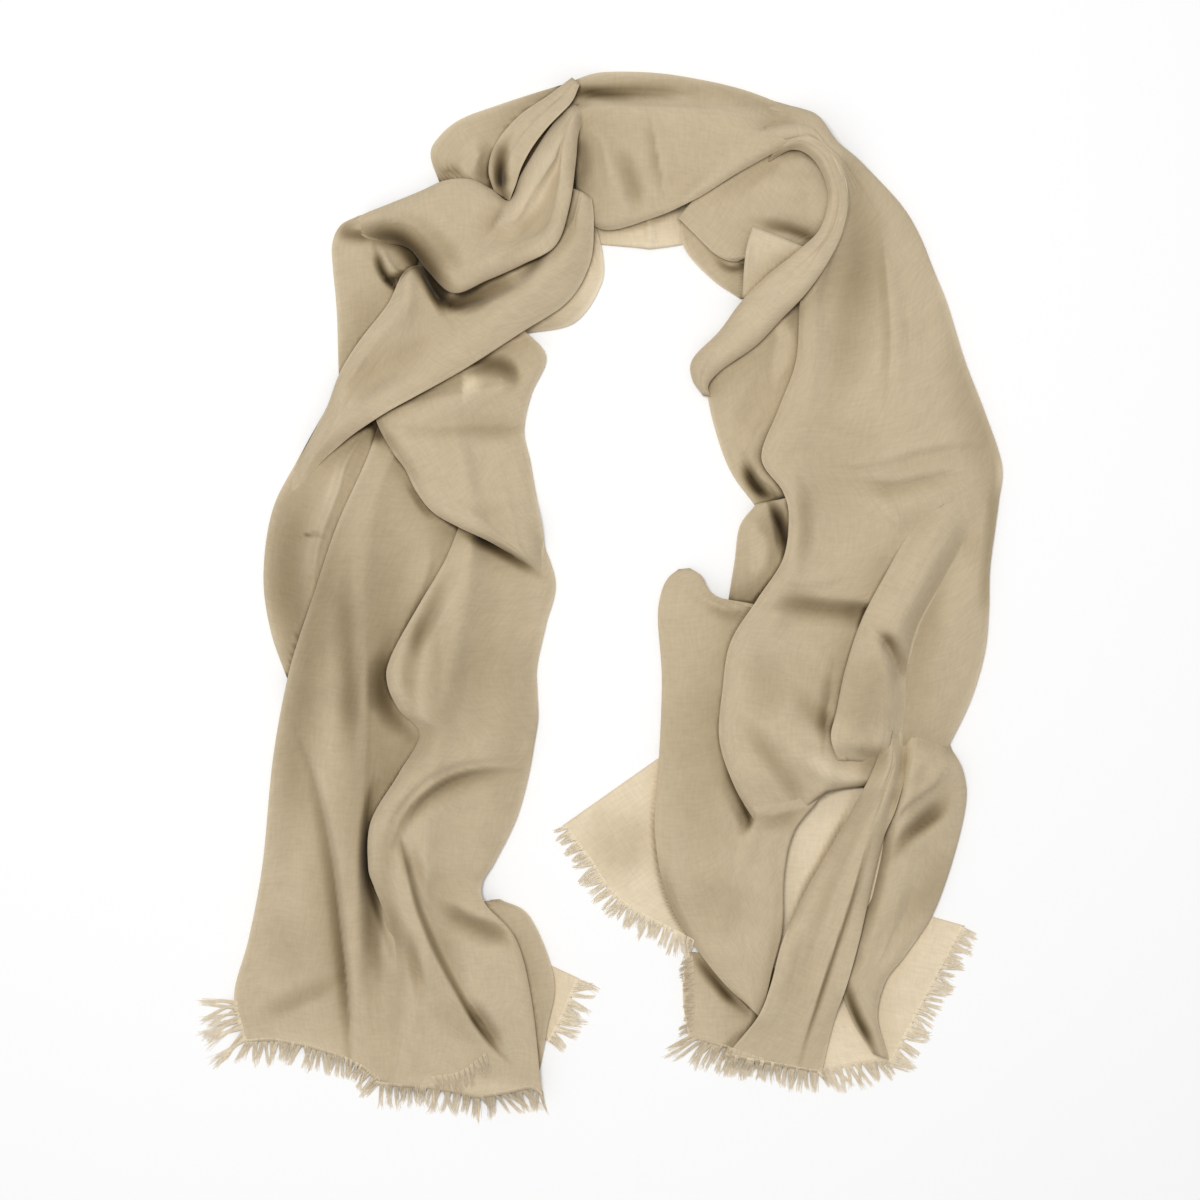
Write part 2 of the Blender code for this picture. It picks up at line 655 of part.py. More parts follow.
def make_fringe(name, count, edges, table, grids, pile, material):
    """A narrow strip along a cut edge, with a tapered strand from every other cell of its outer side."""
    cells = 2 * count - 1
    hem = even_line(np.vstack([edge_line(grids[edge[0]], *edge[1:]) for edge in edges]), cells + 1)
    inside = np.mean([grids[edge[0]].mean(axis=(0, 1))[:2] for edge in edges], axis=0)
    outward = outward_of(hem[:, :2], inside)
    share = np.linspace(0, 1, cells + 1)
    shares, lengths, leans = np.array([Strands(*row) for row in table], float).T
    inner = hem[:, :2] + outward * HEM_PART
    outer = inner + outward * STRIP_WIDTH
    lean = np.interp(share, shares, leans)
    tips = outer + leaned(outward, lean) * (np.interp(share, shares, lengths) * 0.001 - STRIP_WIDTH)[:, None]
    height = hem[:, 2] + (WALL - STRIP_THICKNESS) / 2
    build = bmesh.new()
    back = [build.verts.new((*p, h + STRIP_THICKNESS / 2)) for p, h in zip(inner, height)]
    low = [build.verts.new((*p, h)) for p, h in zip(outer, height)]
    high = [build.verts.new((*p, h + STRIP_THICKNESS)) for p, h in zip(outer, height)]
    build.faces.new((back[0], low[0], high[0]))
    build.faces.new((back[-1], high[-1], low[-1]))
    for k in range(cells):
        build.faces.new((back[k], high[k], high[k + 1], back[k + 1]))
        build.faces.new((back[k], back[k + 1], low[k + 1], low[k]))
        root = build.faces.new((low[k], low[k + 1], high[k + 1], high[k]))
        if k % 2 == 0:
            grow_strand(build, root, (tips[k] + tips[k + 1]) / 2, pile)
    finish_body(name, build, material)


def grow_strand(build, root, tip, pile):
    """Extrudes one root face out to a narrow tip just above what it lies on."""
    middle = root.calc_center_median()
    grown = bmesh.ops.extrude_discrete_faces(build, faces=[root])["faces"][0]
    sides = [(vert.co - middle) * STRAND_TIP_SHARE for vert in grown.verts]
    ground = float(pile.highest(np.array([tip[0]]), np.array([tip[1]]), 1)[0])
    lift = ground + LIE + STRAND_TIP_LIFT - min(side.z for side in sides)
    for vert, side in zip(grown.verts, sides):
        vert.co = (tip[0] + side.x, tip[1] + side.y, lift + side.z)


def main():
    clear_scene()
    cloth = cloth_material("Wool cloth", CLOTH_COLOUR)
    yarn = cloth_material("Fringe yarn", FRINGE_COLOUR)
    pile = Pile()
    for name, table in LAYERS.items():
        make_layers(name, table, pile, cloth)
    grids = {}
    for name, (folded, table) in STRETCHES.items():
        grids[name] = make_stretch(name, folded, table, pile, cloth)
    for name, (count, edges, table) in FRINGES.items():
        make_fringe(name, count, edges, table, grids, pile, yarn)


main()
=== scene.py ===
import math

import bmesh
import bpy
import numpy as np
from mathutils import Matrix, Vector, noise


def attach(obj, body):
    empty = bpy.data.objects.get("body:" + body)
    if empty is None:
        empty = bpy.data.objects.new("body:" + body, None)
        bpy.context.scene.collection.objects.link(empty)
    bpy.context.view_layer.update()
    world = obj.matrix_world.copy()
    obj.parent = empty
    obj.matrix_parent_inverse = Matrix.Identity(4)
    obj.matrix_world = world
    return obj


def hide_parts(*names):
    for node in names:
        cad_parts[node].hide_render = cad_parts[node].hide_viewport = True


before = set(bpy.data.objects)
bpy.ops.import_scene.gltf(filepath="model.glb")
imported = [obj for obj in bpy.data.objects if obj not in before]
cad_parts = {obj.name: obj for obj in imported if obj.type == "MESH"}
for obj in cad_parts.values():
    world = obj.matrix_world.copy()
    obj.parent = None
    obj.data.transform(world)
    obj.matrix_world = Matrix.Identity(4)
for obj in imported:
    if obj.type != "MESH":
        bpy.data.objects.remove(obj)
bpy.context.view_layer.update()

# outlines are drawn on a plan grid: x to the right, y down, one step is 8.8 mm
plan = {"step": 2.0 / 227, "middleX": 60.211, "middleY": 59.466}
mm = 0.001

cloth = {
    "wall": 0.9 * mm,
    "clear": 0.3 * mm,
    "cell": 3.0 * mm,
    "edgeRound": 2.1 * mm,        # radius of the small turn under a folded edge
    "edgeLift": 1.2,              # how many such radii a folded piece is lifted by
    "tuck": 7.0 * mm,             # how far a folded edge runs back underneath
    "tuckShare": 0.2,             # the most of the width that this takes
    "rollShare": 0.46,            # and that the roll of an edge takes
    "turnAngles": (0, 30, 60),
    "rollAngles": (0, 9, 19, 30, 42, 54, 66, 78, 90),
    "riseScale": 1.15,
    "crownPower": 2.2,
    "softer": 1.35,               # widens every broad crease
    "fineReach": 6,               # a crease of this reach in mm or less is a fine one
    "fineSofter": 1.1,
    "troughScale": 1.6,
    "taper": 0.3,                 # share of a crease over which each end dies away
    "endReach": 0.55,             # what is left of its reach and of its height there
    "endHeight": 0.35,
    "drapePasses": 60,
    "softPasses": 6,
    "softShare": 0.6,             # of its neighbours that a spot takes over in each
    "sink": 1.6 * mm,             # how far a faded edge dips into what it merges with
    "hemReach": 26 * mm,          # how far up the cloth a bent hem is felt
    "leastLift": 0.05 * mm,       # off the floor
    "leastArea": 0.31,            # of a stretch's flat rectangle
    "toneRange": (-0.8, 1.3),     # of the share of single cloth; below zero it is painted shade
    "uvStep": 0.31,               # sets each stretch's weave aside from the last one's
    "waveStep": 3.7,
    "broadWave": (15, 1.9 * mm),  # unevenness of soft cloth: waves to a metre, and height
    "fineWave": (48, 0.55 * mm),
}


def place(x, y):
    return (np.asarray(x) - plan["middleX"]) * plan["step"], (plan["middleY"] - np.asarray(y)) * plan["step"]


def smoothRows(values, at):
    # a Catmull-Rom curve through the rows, read at fractional row numbers
    values = np.asarray(values, float)
    padded = np.vstack([2 * values[0] - values[1], values, 2 * values[-1] - values[-2]])
    row = np.clip(np.floor(at).astype(int), 0, len(values) - 2)
    t = (at - row)[:, None]
    before, start, end, after = (padded[row + k] for k in range(4))
    bend = 2 * before - 5 * start + 4 * end - after
    lean = 3 * start - before - 3 * end + after
    return start + 0.5 * t * (end - before + t * (bend + t * lean))


def lengthSoFar(line):
    return np.concatenate([[0], np.cumsum(np.hypot(*np.diff(line, axis=0).T))])


def evenRows(line, cell):
    fine = np.linspace(0, len(line) - 1, 16 * len(line))
    length = lengthSoFar(smoothRows(line, fine))
    count = max(5, round(length[-1] / cell) + 1)
    return np.interp(np.linspace(0, length[-1], count), length, fine)


def readSections(table, cell):
    # both edges of a strip and its rise in mm, at even rows along it
    rows = np.array(table, float)
    left = np.column_stack(place(rows[:, 0], rows[:, 1]))
    right = np.column_stack(place(rows[:, 2], rows[:, 3]))
    at = evenRows((left + right) / 2, cell)
    return smoothRows(left, at), smoothRows(right, at), smoothRows(rows[:, 4:5], at)


def between(left, right, distance, width):
    return [left[:, k:k + 1] + (right - left)[:, k:k + 1] * distance / width for k in (0, 1)]


def easeIn(t):
    t = np.clip(t, 0, 1)
    return t * t * (3 - 2 * t)


# the pile: how high the cloth lies so far, on a fine raster

pile = {"cell": 2.0 * mm, "halfX": 0.42, "halfY": 0.54, "kept": None}
pile["height"] = np.zeros([int(2 * pile[half] / pile["cell"]) + 1 for half in ("halfX", "halfY")])


def pileCell(x, y):
    column = np.rint((x + pile["halfX"]) / pile["cell"]).astype(int)
    row = np.rint((y + pile["halfY"]) / pile["cell"]).astype(int)
    return column, row


def pileTop(x, y, reach=1):
    column, row = pileCell(x, y)
    found = pile["height"][column, row]
    for across in range(-reach, reach + 1):
        for along in range(-reach, reach + 1):
            found = np.maximum(found, pile["height"][column + across, row + along])
    return found


def neighbours(z):
    wide = np.pad(z, 1, mode="edge")
    return wide[:-2, 1:-1] + wide[2:, 1:-1] + wide[1:-1, :-2] + wide[1:-1, 2:]


def blur(z, passes):
    for step in range(passes):
        z = (neighbours(z) + 2 * z) / 6
    return z


def mixCorners(z, i, j, s, t):
    # between the four corners that start at row i and column j
    return (z[i, j] * (1 - s) + z[i + 1, j] * s) * (1 - t) + (z[i, j + 1] * (1 - s) + z[i + 1, j + 1] * s) * t


def readBetween(z, x, y):
    column, row = (x + pile["halfX"]) / pile["cell"], (y + pile["halfY"]) / pile["cell"]
    i = np.clip(np.floor(column).astype(int), 0, z.shape[0] - 2)
    j = np.clip(np.floor(row).astype(int), 0, z.shape[1] - 2)
    return mixCorners(z, i, j, np.clip(column - i, 0, 1), np.clip(row - j, 0, 1))


def pileSmooth(x, y):
    # the pile's height read between the cells, after a slight blur
    if pile["kept"] is None:
        pile["kept"] = blur(pile["height"], 3)
    return readBetween(pile["kept"], x, y)


def layOnPile(x, y, z, samples=5):
    i, j = np.ix_(range(x.shape[0] - 1), range(x.shape[1] - 1))
    for s in np.linspace(0, 1, samples):
        for t in np.linspace(0, 1, samples):
            spotX, spotY, spotZ = (mixCorners(a, i, j, s, t) for a in (x, y, z))
            np.maximum.at(pile["height"], pileCell(spotX, spotY), spotZ)
    pile["kept"] = None


# wool and yarn

finish = {
    "threadSize": 0.00085,
    "doubleCloth": (0.540, 0.440, 0.295),
    "singleCloth": (0.800, 0.676, 0.488),
    # painted shade colour that the cloth goes toward where its share of single cloth is below zero
    "paintedShadeColour": (0.300, 0.225, 0.125),
    "yarn": (0.860, 0.750, 0.570),
    "yarnRoot": (0.560, 0.460, 0.312),
    "foldShade": 1.0,
    "shadePowers": (1.0, 1.10, 1.32),  # red, green, blue: a deep fold goes warmer as it darkens
    "rough": 0.90,
    "sheen": 0.22,
    "sheenRough": 0.5,
    "sheenTint": (1.0, 0.92, 0.78),
    "specular": 0.15,
    "bump": 0.5,
    "weaveDepth": 0.00014,
    "noiseRough": 0.6,
    "streaks": (380, 70),              # noise across and along a yarn
    "streakDetail": 3,
    "darkThread": (0.78, 0.78, 0.77),
    "lightThread": (1.22, 1.22, 1.23),
    "napScale": 34,
    "napDetail": 4,
    "darkNap": (0.92, 0.92, 0.91),
    "lightNap": (1.08, 1.08, 1.09),
}


def newGroup(name, inputs, outputs):
    group = bpy.data.node_groups.new(name, "ShaderNodeTree")
    for label, kind, value in inputs:
        socket = group.interface.new_socket(name=label, in_out="INPUT", socket_type=kind)
        socket.default_value = value
    for label, kind in outputs:
        group.interface.new_socket(name=label, in_out="OUTPUT", socket_type=kind)
    return group, group.nodes.new("NodeGroupInput"), group.nodes.new("NodeGroupOutput")


def feed(tree, socket, value):
    # a socket takes another node's output, a number or a colour
    if isinstance(value, (int, float)):
        socket.default_value = value
    elif isinstance(value, tuple):
        socket.default_value = (*value, 1.0)
    else:
        tree.links.new(value, socket)


def mathNode(tree, operation, *values):
    node = tree.nodes.new("ShaderNodeMath")
    node.operation = operation
    for socket, value in zip(node.inputs, values):
        feed(tree, socket, value)
    return node.outputs[0]


def noiseNode(tree, vector, scale, detail):
    node = tree.nodes.new("ShaderNodeTexNoise")
    for label, value in (("Scale", scale), ("Detail", detail), ("Vector", vector),
                         ("Roughness", finish["noiseRough"])):
        feed(tree, node.inputs[label], value)
    return node.outputs["Fac"]


def mixColour(tree, blend, amount, first, second):
    node = tree.nodes.new("ShaderNodeMix")
    node.data_type = "RGBA"
    node.blend_type = blend
    for k, value in ((0, amount), (6, first), (7, second)):
        feed(tree, node.inputs[k], value)
    return node.outputs[2]


def attributeNode(tree, name):
    node = tree.nodes.new("ShaderNodeAttribute")
    node.attribute_name = name
    return node.outputs["Fac"]


def groupNode(tree, group, **values):
    node = tree.nodes.new("ShaderNodeGroup")
    node.node_tree = group
    for label, value in values.items():
        feed(tree, node.inputs[label], value)
    return node.outputs


def makeWeaveGroup():
    # plain weave of uneven yarns, in metres: how high the threads stand, and how light each spot is
    group, start, end = newGroup(
        "plainWeave",
        [("Vector", "NodeSocketVector", (0, 0, 0)), ("Thread", "NodeSocketFloat", 0.001)],
        [("Height", "NodeSocketFloat"), ("Shade", "NodeSocketColor")],
    )
    split = group.nodes.new("ShaderNodeSeparateXYZ")
    group.links.new(start.outputs["Vector"], split.inputs[0])
    turns = [mathNode(group, "DIVIDE", split.outputs[axis], start.outputs["Thread"]) for axis in (0, 1)]
    waves = [mathNode(group, "SINE", mathNode(group, "MULTIPLY", turn, math.pi)) for turn in turns]
    crossing = mathNode(group, "MULTIPLY", waves[0], waves[1])
    ribs = [mathNode(group, "ABSOLUTE", wave) for wave in waves]
    height = mathNode(group, "ADD", mathNode(group, "MULTIPLY", crossing, 0.5), mathNode(group, "MAXIMUM", *ribs))
    streaks = []
    for scale in (finish["streaks"], finish["streaks"][::-1]):
        pull = group.nodes.new("ShaderNodeVectorMath")
        pull.operation = "MULTIPLY"
        pull.inputs[1].default_value = (*scale, 1)
        group.links.new(start.outputs["Vector"], pull.inputs[0])
        streaks.append(noiseNode(group, pull.outputs[0], 1.0, finish["streakDetail"]))
    heather = mathNode(group, "MULTIPLY", mathNode(group, "ADD", *streaks), 0.5)
    napMottleAndPaintedEdgeLight = noiseNode(group, start.outputs["Vector"], finish["napScale"], finish["napDetail"])
    threads = mixColour(group, "MIX", heather, finish["darkThread"], finish["lightThread"])
    cloud = mixColour(group, "MIX", napMottleAndPaintedEdgeLight, finish["darkNap"], finish["lightNap"])
    group.links.new(height, end.inputs["Height"])
    group.links.new(mixColour(group, "MULTIPLY", 1.0, threads, cloud), end.inputs["Shade"])
    return group


def makeFoldShadeGroup():
    # painted shade: cloth deep between folds goes darker in its colour
    group, start, end = newGroup(
        "foldShade", [("Open", "NodeSocketFloat", 1.0), ("Strength", "NodeSocketFloat", 1.0)],
        [("Tint", "NodeSocketColor")],
    )
    join = group.nodes.new("ShaderNodeCombineColor")
    for channel, power in enumerate(finish["shadePowers"]):
        strength = mathNode(group, "MULTIPLY", start.outputs["Strength"], power)
        group.links.new(mathNode(group, "POWER", start.outputs["Open"], strength), join.inputs[channel])
    group.links.new(join.outputs[0], end.inputs["Tint"])
    return group


weaveGroup = makeWeaveGroup()
foldShadeGroup = makeFoldShadeGroup()


def woolColour(tree):
    # paler where one layer lies alone, darker toward a painted shade colour where that share is below zero, and
    # painted fold shade between folds
    single = attributeNode(tree, "single")
    colour = mixColour(tree, "MIX", single, finish["doubleCloth"], finish["singleCloth"])
    colour = mixColour(tree, "MIX", mathNode(tree, "MULTIPLY", single, -1.0), colour, finish["paintedShadeColour"])
    shade = groupNode(tree, foldShadeGroup, Strength=finish["foldShade"], Open=attributeNode(tree, "open"))
    return mixColour(tree, "MULTIPLY", 1.0, colour, shade["Tint"])


def yarnColour(tree):
    return mixColour(tree, "MIX", attributeNode(tree, "single"), finish["yarnRoot"], finish["yarn"])


def makeWool(name, colourNodes, onUv):
    material = bpy.data.materials.new(name)
    material.use_nodes = True
    tree = material.node_tree
    shader = tree.nodes["Principled BSDF"]
    for label, key in (("Roughness", "rough"), ("Sheen Weight", "sheen"), ("Sheen Roughness", "sheenRough"),
                       ("Sheen Tint", "sheenTint"), ("Specular IOR Level", "specular")):
        feed(tree, shader.inputs[label], finish[key])
    mapping = tree.nodes.new("ShaderNodeUVMap" if onUv else "ShaderNodeTexCoord")
    if onUv:
        mapping.uv_map = "cloth"
    vector = mapping.outputs["UV" if onUv else "Object"]
    weave = groupNode(tree, weaveGroup, Thread=finish["threadSize"], Vector=vector)
    feed(tree, shader.inputs["Base Color"], mixColour(tree, "MULTIPLY", 1.0, colourNodes(tree), weave["Shade"]))
    bump = tree.nodes.new("ShaderNodeBump")
    for label, value in (("Strength", finish["bump"]), ("Distance", finish["weaveDepth"]),
                         ("Height", weave["Height"])):
        feed(tree, bump.inputs[label], value)
    feed(tree, shader.inputs["Normal"], bump.outputs["Normal"])
    return material


wool = makeWool("shawlWool", woolColour, True)
fringeYarn = makeWool("fringeYarn", yarnColour, False)
print("wool and yarn ready")


def addGrid(surface, x, y, z):
    # a grid of faces through the given spots, and the row and column of each vertex
    made = bmesh.ops.create_grid(surface, x_segments=x.shape[1] - 1, y_segments=x.shape[0] - 1, size=0.5)
    spot = {}
    for vert in made["verts"]:
        i, j = (round((vert.co[axis] + 0.5) * (x.shape[1 - axis] - 1)) for axis in (1, 0))
        spot[vert] = (i, j)
        vert.co = (x[i, j], y[i, j], z[i, j])
    return spot


def closeMesh(surface, name, material):
    mesh = bpy.data.meshes.new(name)
    surface.to_mesh(mesh)
    surface.free()
    mesh.shade_smooth()
    mesh.materials.append(material)
    return mesh


def addObject(name, data):
    thing = bpy.data.objects.new(name, data)
    bpy.context.scene.collection.objects.link(thing)
    return thing


def softLines(x, y, lines):
    # soft ridges and troughs along lines of (x, y, height), each with its reach to the left and to the right
    total = np.zeros_like(x)
    for line, reachLeft, reachRight in lines:
        curve = smoothRows(line, np.linspace(0, len(line) - 1, 6 * (len(line) - 1) + 1))
        px, py = place(curve[:, 0], curve[:, 1])
        nearest = np.full(x.shape, 1e9)
        side, height, gone = np.zeros((3, *x.shape))
        reached = lengthSoFar(np.column_stack([px, py]))
        for k in range(len(px) - 1):
            length = max(math.hypot(px[k + 1] - px[k], py[k + 1] - py[k]), 1e-9)
            dx, dy = (px[k + 1] - px[k]) / length, (py[k + 1] - py[k]) / length
            along = np.clip((x - px[k]) * dx + (y - py[k]) * dy, 0, length)
            awayX, awayY = x - px[k] - along * dx, y - py[k] - along * dy
            away = np.hypot(awayX, awayY)
            better = away < nearest
            nearest = np.where(better, away, nearest)
            side = np.where(better, dx * awayY - dy * awayX, side)
            height = np.where(better, curve[k, 2] + (curve[k + 1, 2] - curve[k, 2]) * along / length, height)
            gone = np.where(better, reached[k] + along, gone)
        taper = easeIn(np.minimum(gone, reached[-1] - gone) / (cloth["taper"] * reached[-1]))
        reaches = [reach * cloth["softer" if reach > cloth["fineReach"] else "fineSofter"] * mm
                   for reach in (reachLeft, reachRight)]
        reach = np.where(side > 0, *reaches) * (cloth["endReach"] + (1 - cloth["endReach"]) * taper)
        bell = np.clip(1 - (nearest / reach) ** 2, 0, 1) ** 2
        total += height * (cloth["endHeight"] + (1 - cloth["endHeight"]) * taper) * bell
    return total


def drapeOver(floor):
    # taut cloth over what lies below, then eased so that nothing under it shows as a sharp line
    z = floor.copy()
    for step in range(cloth["drapePasses"] + cloth["softPasses"]):
        around = neighbours(z) / 4
        if step < cloth["drapePasses"]:
            z = np.maximum(floor, around)
        else:
            z = (1 - cloth["softShare"]) * z + cloth["softShare"] * around
    return z


def wander(x, y, seed):
    spots = np.column_stack([x.ravel(), y.ravel()])
    (broad, broadHeight), (fine, fineHeight) = cloth["broadWave"], cloth["fineWave"]
    swell = [noise.noise(Vector((px * broad + seed, py * broad, seed))) for px, py in spots]
    ripple = [noise.noise(Vector((px * fine, py * fine + seed, seed))) for px, py in spots]
    return np.reshape(swell, x.shape) * broadHeight + np.reshape(ripple, x.shape) * fineHeight


def runLengths(x, y, z):
    steps = [np.sqrt(sum(np.diff(a, axis=axis) ** 2 for a in (x, y, z))) for axis in (1, 0)]
    across = np.pad(np.cumsum(steps[0], axis=1), ((0, 0), (1, 0)))
    along = np.pad(np.cumsum(steps[1], axis=0), ((1, 0), (0, 0)))
    return across, along


def sideColumns(folded, roll, tuck):
    # columns from under a folded edge, round it and up the roll:
    # distance in from the edge, lift of the small turn, share of the full height
    if not folded:
        return [(0 * roll, 1.0, 1.0)]
    small = cloth["edgeRound"]
    under = [(small + tuck * share, 0.0, 0.0) for share in (1.0, 0.5)]
    turn = [(small * (1 - math.sin(a)), 1 - math.cos(a), 0.0) for a in np.radians(cloth["turnAngles"])]
    rise = [(roll * (1 - math.cos(a)), 1.0, math.sin(a)) for a in np.radians(cloth["rollAngles"])]
    return under + turn + rise


def allColumns(spec, width):
    # the same three for every column, from the left edge to the right
    folded = spec.get("folded", "")
    rolls = [np.minimum(roll * mm, width * cloth["rollShare"]) for roll in spec.get("roll", (17, 17))]
    tuck = np.minimum(cloth["tuck"], width * cloth["tuckShare"])
    leftSide = sideColumns("left" in folded, rolls[0], tuck)
    rightSide = sideColumns("right" in folded, rolls[1], tuck)[::-1]
    fromLeft = [side[0] + 0 * width for side in leftSide]
    fromRight = [width - side[0] for side in rightSide]
    start, stop = fromLeft[-1], fromRight[0]
    count = max(3, round(float(np.percentile(width, 80)) / cloth["cell"]))
    inner = [start + (stop - start) * s for s in np.linspace(0, 1, count + 1)[1:-1]]
    turn, share = (np.array([side[k] for side in leftSide] + [1.0] * len(inner) + [side[k] for side in rightSide])
                   for k in (1, 2))
    return np.hstack(fromLeft + inner + fromRight), turn, share


def bendHem(x, y, across, rows):
    # the cut end runs a little further out or in from place to place
    aheadX, aheadY = x[-1] - x[-4], y[-1] - y[-4]
    out = np.interp(across, [row[0] for row in rows], [row[1] * mm for row in rows]) / np.hypot(aheadX, aheadY)
    gone = runLengths(x, y, 0 * x)[1]
    near = easeIn(np.clip(1 - (gone[-1:] - gone) / cloth["hemReach"], 0, 1))
    return x + near * out * aheadX, y + near * out * aheadY


def endRolls(folded, fromSide, reach):
    share = np.ones_like(fromSide["start"])
    for end in ("start", "end"):
        if end in folded:
            inward = 1 - np.clip(fromSide[end] / reach, 0, 1)
            share = np.minimum(share, np.sqrt(1 - inward ** 2))
    return share


def fadeEdges(fades, x, y, z, across, fromSide):
    # an edge that merges with its neighbour sinks into it; also how much of the stretch still shows
    shown = np.ones_like(x)
    below = pileSmooth(x, y) - cloth["sink"]
    for side, keeps, reach in fades:
        run = np.linspace(0, 1, len(x))[:, None] + 0 * x if side in ("left", "right") else across
        keep = np.interp(run, [k[0] for k in keeps], [k[1] for k in keeps])
        gone = (1 - keep) * (1 - easeIn(fromSide[side] / (reach * mm)))
        z = z * (1 - gone) + below * gone
        shown = shown * (1 - gone)
    return z, shown


def shapeStretch(spec, number):
    left, right, rise = readSections(spec["sections"], cloth["cell"])
    rise = np.maximum(rise, 0.0) * mm * cloth["riseScale"]
    width = np.hypot(*(right - left).T)[:, None]
    distance, turn, share = allColumns(spec, width)
    x, y = between(left, right, distance, width)
    if "hem" in spec:
        x, y = bendHem(x, y, distance[-1] / width[-1], spec["hem"])
    folded = spec.get("folded", "")
    across = np.clip(distance / width, 0, 1)
    along = runLengths(x, y, 0 * x)[1]
    fromSide = {"left": distance, "right": width - distance, "start": along, "end": along[-1:] - along}

    floor = pileTop(x, y, 1) + cloth["clear"]
    crown = spec.get("crown", 3.0) * mm * (1 - np.abs(2 * across - 1) ** cloth["crownPower"])
    folds = softLines(x, y, spec.get("creases", [])) * mm
    folds = np.where(folds > 0, folds, folds * cloth["troughScale"])
    ends = endRolls(folded, fromSide, spec.get("endRoll", 14) * mm)
    body = (rise + crown) * ends + folds + wander(x, y, number * cloth["waveStep"])
    edge = cloth["edgeRound"] * turn * cloth["edgeLift"] if "left" in folded or "right" in folded else 0
    z = drapeOver(floor) + cloth["wall"] + edge + body * share
    top = turn > 0.99
    z = np.where(top, np.maximum(z, floor + cloth["wall"]), z)
    z, spec["shown"] = fadeEdges(spec.get("fades", []), x, y, z, across, fromSide)
    z = np.maximum(z, cloth["wall"] + cloth["leastLift"])
    spec["grid"] = (x, y, z)
    return x[:, top], y[:, top], z[:, top]


def makeStretch(spec, number):
    onTop = shapeStretch(spec, number)
    x, y, z = spec["grid"]
    surface = bmesh.new()
    uvLayer = surface.loops.layers.uv.new("cloth")
    toneLayer, openLayer = (surface.verts.layers.float.new(name) for name in ("single", "open"))
    spot = addGrid(surface, x, y, z)
    acrossCloth, alongCloth = runLengths(x, y, z)
    tone = np.clip(spec.get("single", 0.0) + softLines(x, y, spec.get("tones", [])), *cloth["toneRange"])
    for vert in surface.verts:
        vert[toneLayer] = tone[spot[vert]]
        vert[openLayer] = 1.0
    for face in surface.faces:
        for loop in face.loops:
            at = spot[loop.vert]
            loop[uvLayer].uv = (acrossCloth[at] + number * cloth["uvStep"], alongCloth[at])
    surface.normal_update()
    if sum(face.normal.z * face.calc_area() for face in surface.faces) < 0:
        bmesh.ops.reverse_faces(surface, faces=surface.faces[:])
    spec["area"] = sum(face.calc_area() for face in surface.faces)
    spec["flat"] = (float(acrossCloth[:, -1].max()), float(alongCloth[-1].max()))
    spec["spots"] = [spot[vert] for vert in surface.verts]
    piece = addObject(spec["name"], closeMesh(surface, spec["name"], wool))
    wall = piece.modifiers.new("wall", "SOLIDIFY")
    wall.thickness = cloth["wall"]
    wall.offset = -1
    layOnPile(*onTop)
    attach(piece, "root")
    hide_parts(spec["node"])
    spec["piece"] = piece


# hidden layers inside the pile: folded slabs, each a little smaller than the one below

hiddenLayers = {
    "slabs": 3,
    "cell": 9.0 * mm,
    "columns": 19,
    "inset": 4.0 * mm,
    "edgeInset": 7.0 * mm,
    "heightShare": 0.62,
    "least": 2 * mm,       # height at the rim
    "gap": 0.2 * mm,       # between two slabs
    "domePowers": (2.5, 6),
    "endDrop": 0.8,
    "open": 0.3,           # their share of light
}
hiddenTables = {
    "leftLegLayers": ("layers_left_leg", [
        (36.0, 37.5, 50.5, 36.0, 11), (34.0, 46.0, 50.5, 45.0, 13), (30.5, 56.0, 52.5, 56.0, 13),
        (30.5, 67.0, 51.5, 67.0, 12), (29.0, 80.0, 49.5, 80.0, 11), (27.5, 92.0, 48.0, 92.0, 8),
        (27.5, 100.0, 50.0, 100.5, 4),
    ]),
    "leftTopLayers": ("layers_left_top", [
        (35.5, 25.0, 35.8, 33.5, 8), (40.0, 22.5, 41.0, 35.5, 12), (45.0, 20.5, 47.0, 34.0, 14),
        (50.0, 21.0, 53.0, 30.5, 13), (55.0, 20.0, 57.5, 27.5, 9),
    ]),
    "archLayers": ("layers_arch", [
        (46.0, 14.0, 50.5, 18.5, 9), (52.0, 11.0, 56.0, 18.5, 11), (60.0, 9.2, 60.5, 21.5, 10),
        (68.0, 9.2, 67.5, 19.5, 10), (76.0, 11.5, 73.5, 19.5, 11), (83.0, 15.5, 77.0, 22.0, 12),
        (89.0, 22.0, 80.0, 27.0, 12),
    ]),
    "rightLegLayers": ("layers_right_leg", [
        (83.5, 29.5, 92.0, 29.0, 11), (80.5, 38.0, 95.5, 38.0, 12), (78.5, 47.0, 97.8, 47.0, 12),
        (76.0, 56.0, 96.8, 56.0, 12), (72.0, 66.0, 96.0, 66.0, 13), (71.5, 77.0, 92.5, 77.0, 12),
        (71.5, 88.0, 91.5, 88.0, 7), (75.0, 97.0, 87.0, 97.0, 4),
    ]),
}


def addSlab(surface, x, y, low, high):
    spot = addGrid(surface, x, y, high)
    faces = list(dict.fromkeys(face for vert in spot for face in vert.link_faces))
    bmesh.ops.extrude_face_region(surface, geom=faces)
    # the copy stays on top, and the first grid is set down as the slab's underside
    for vert, at in spot.items():
        vert.co.z = low[at]


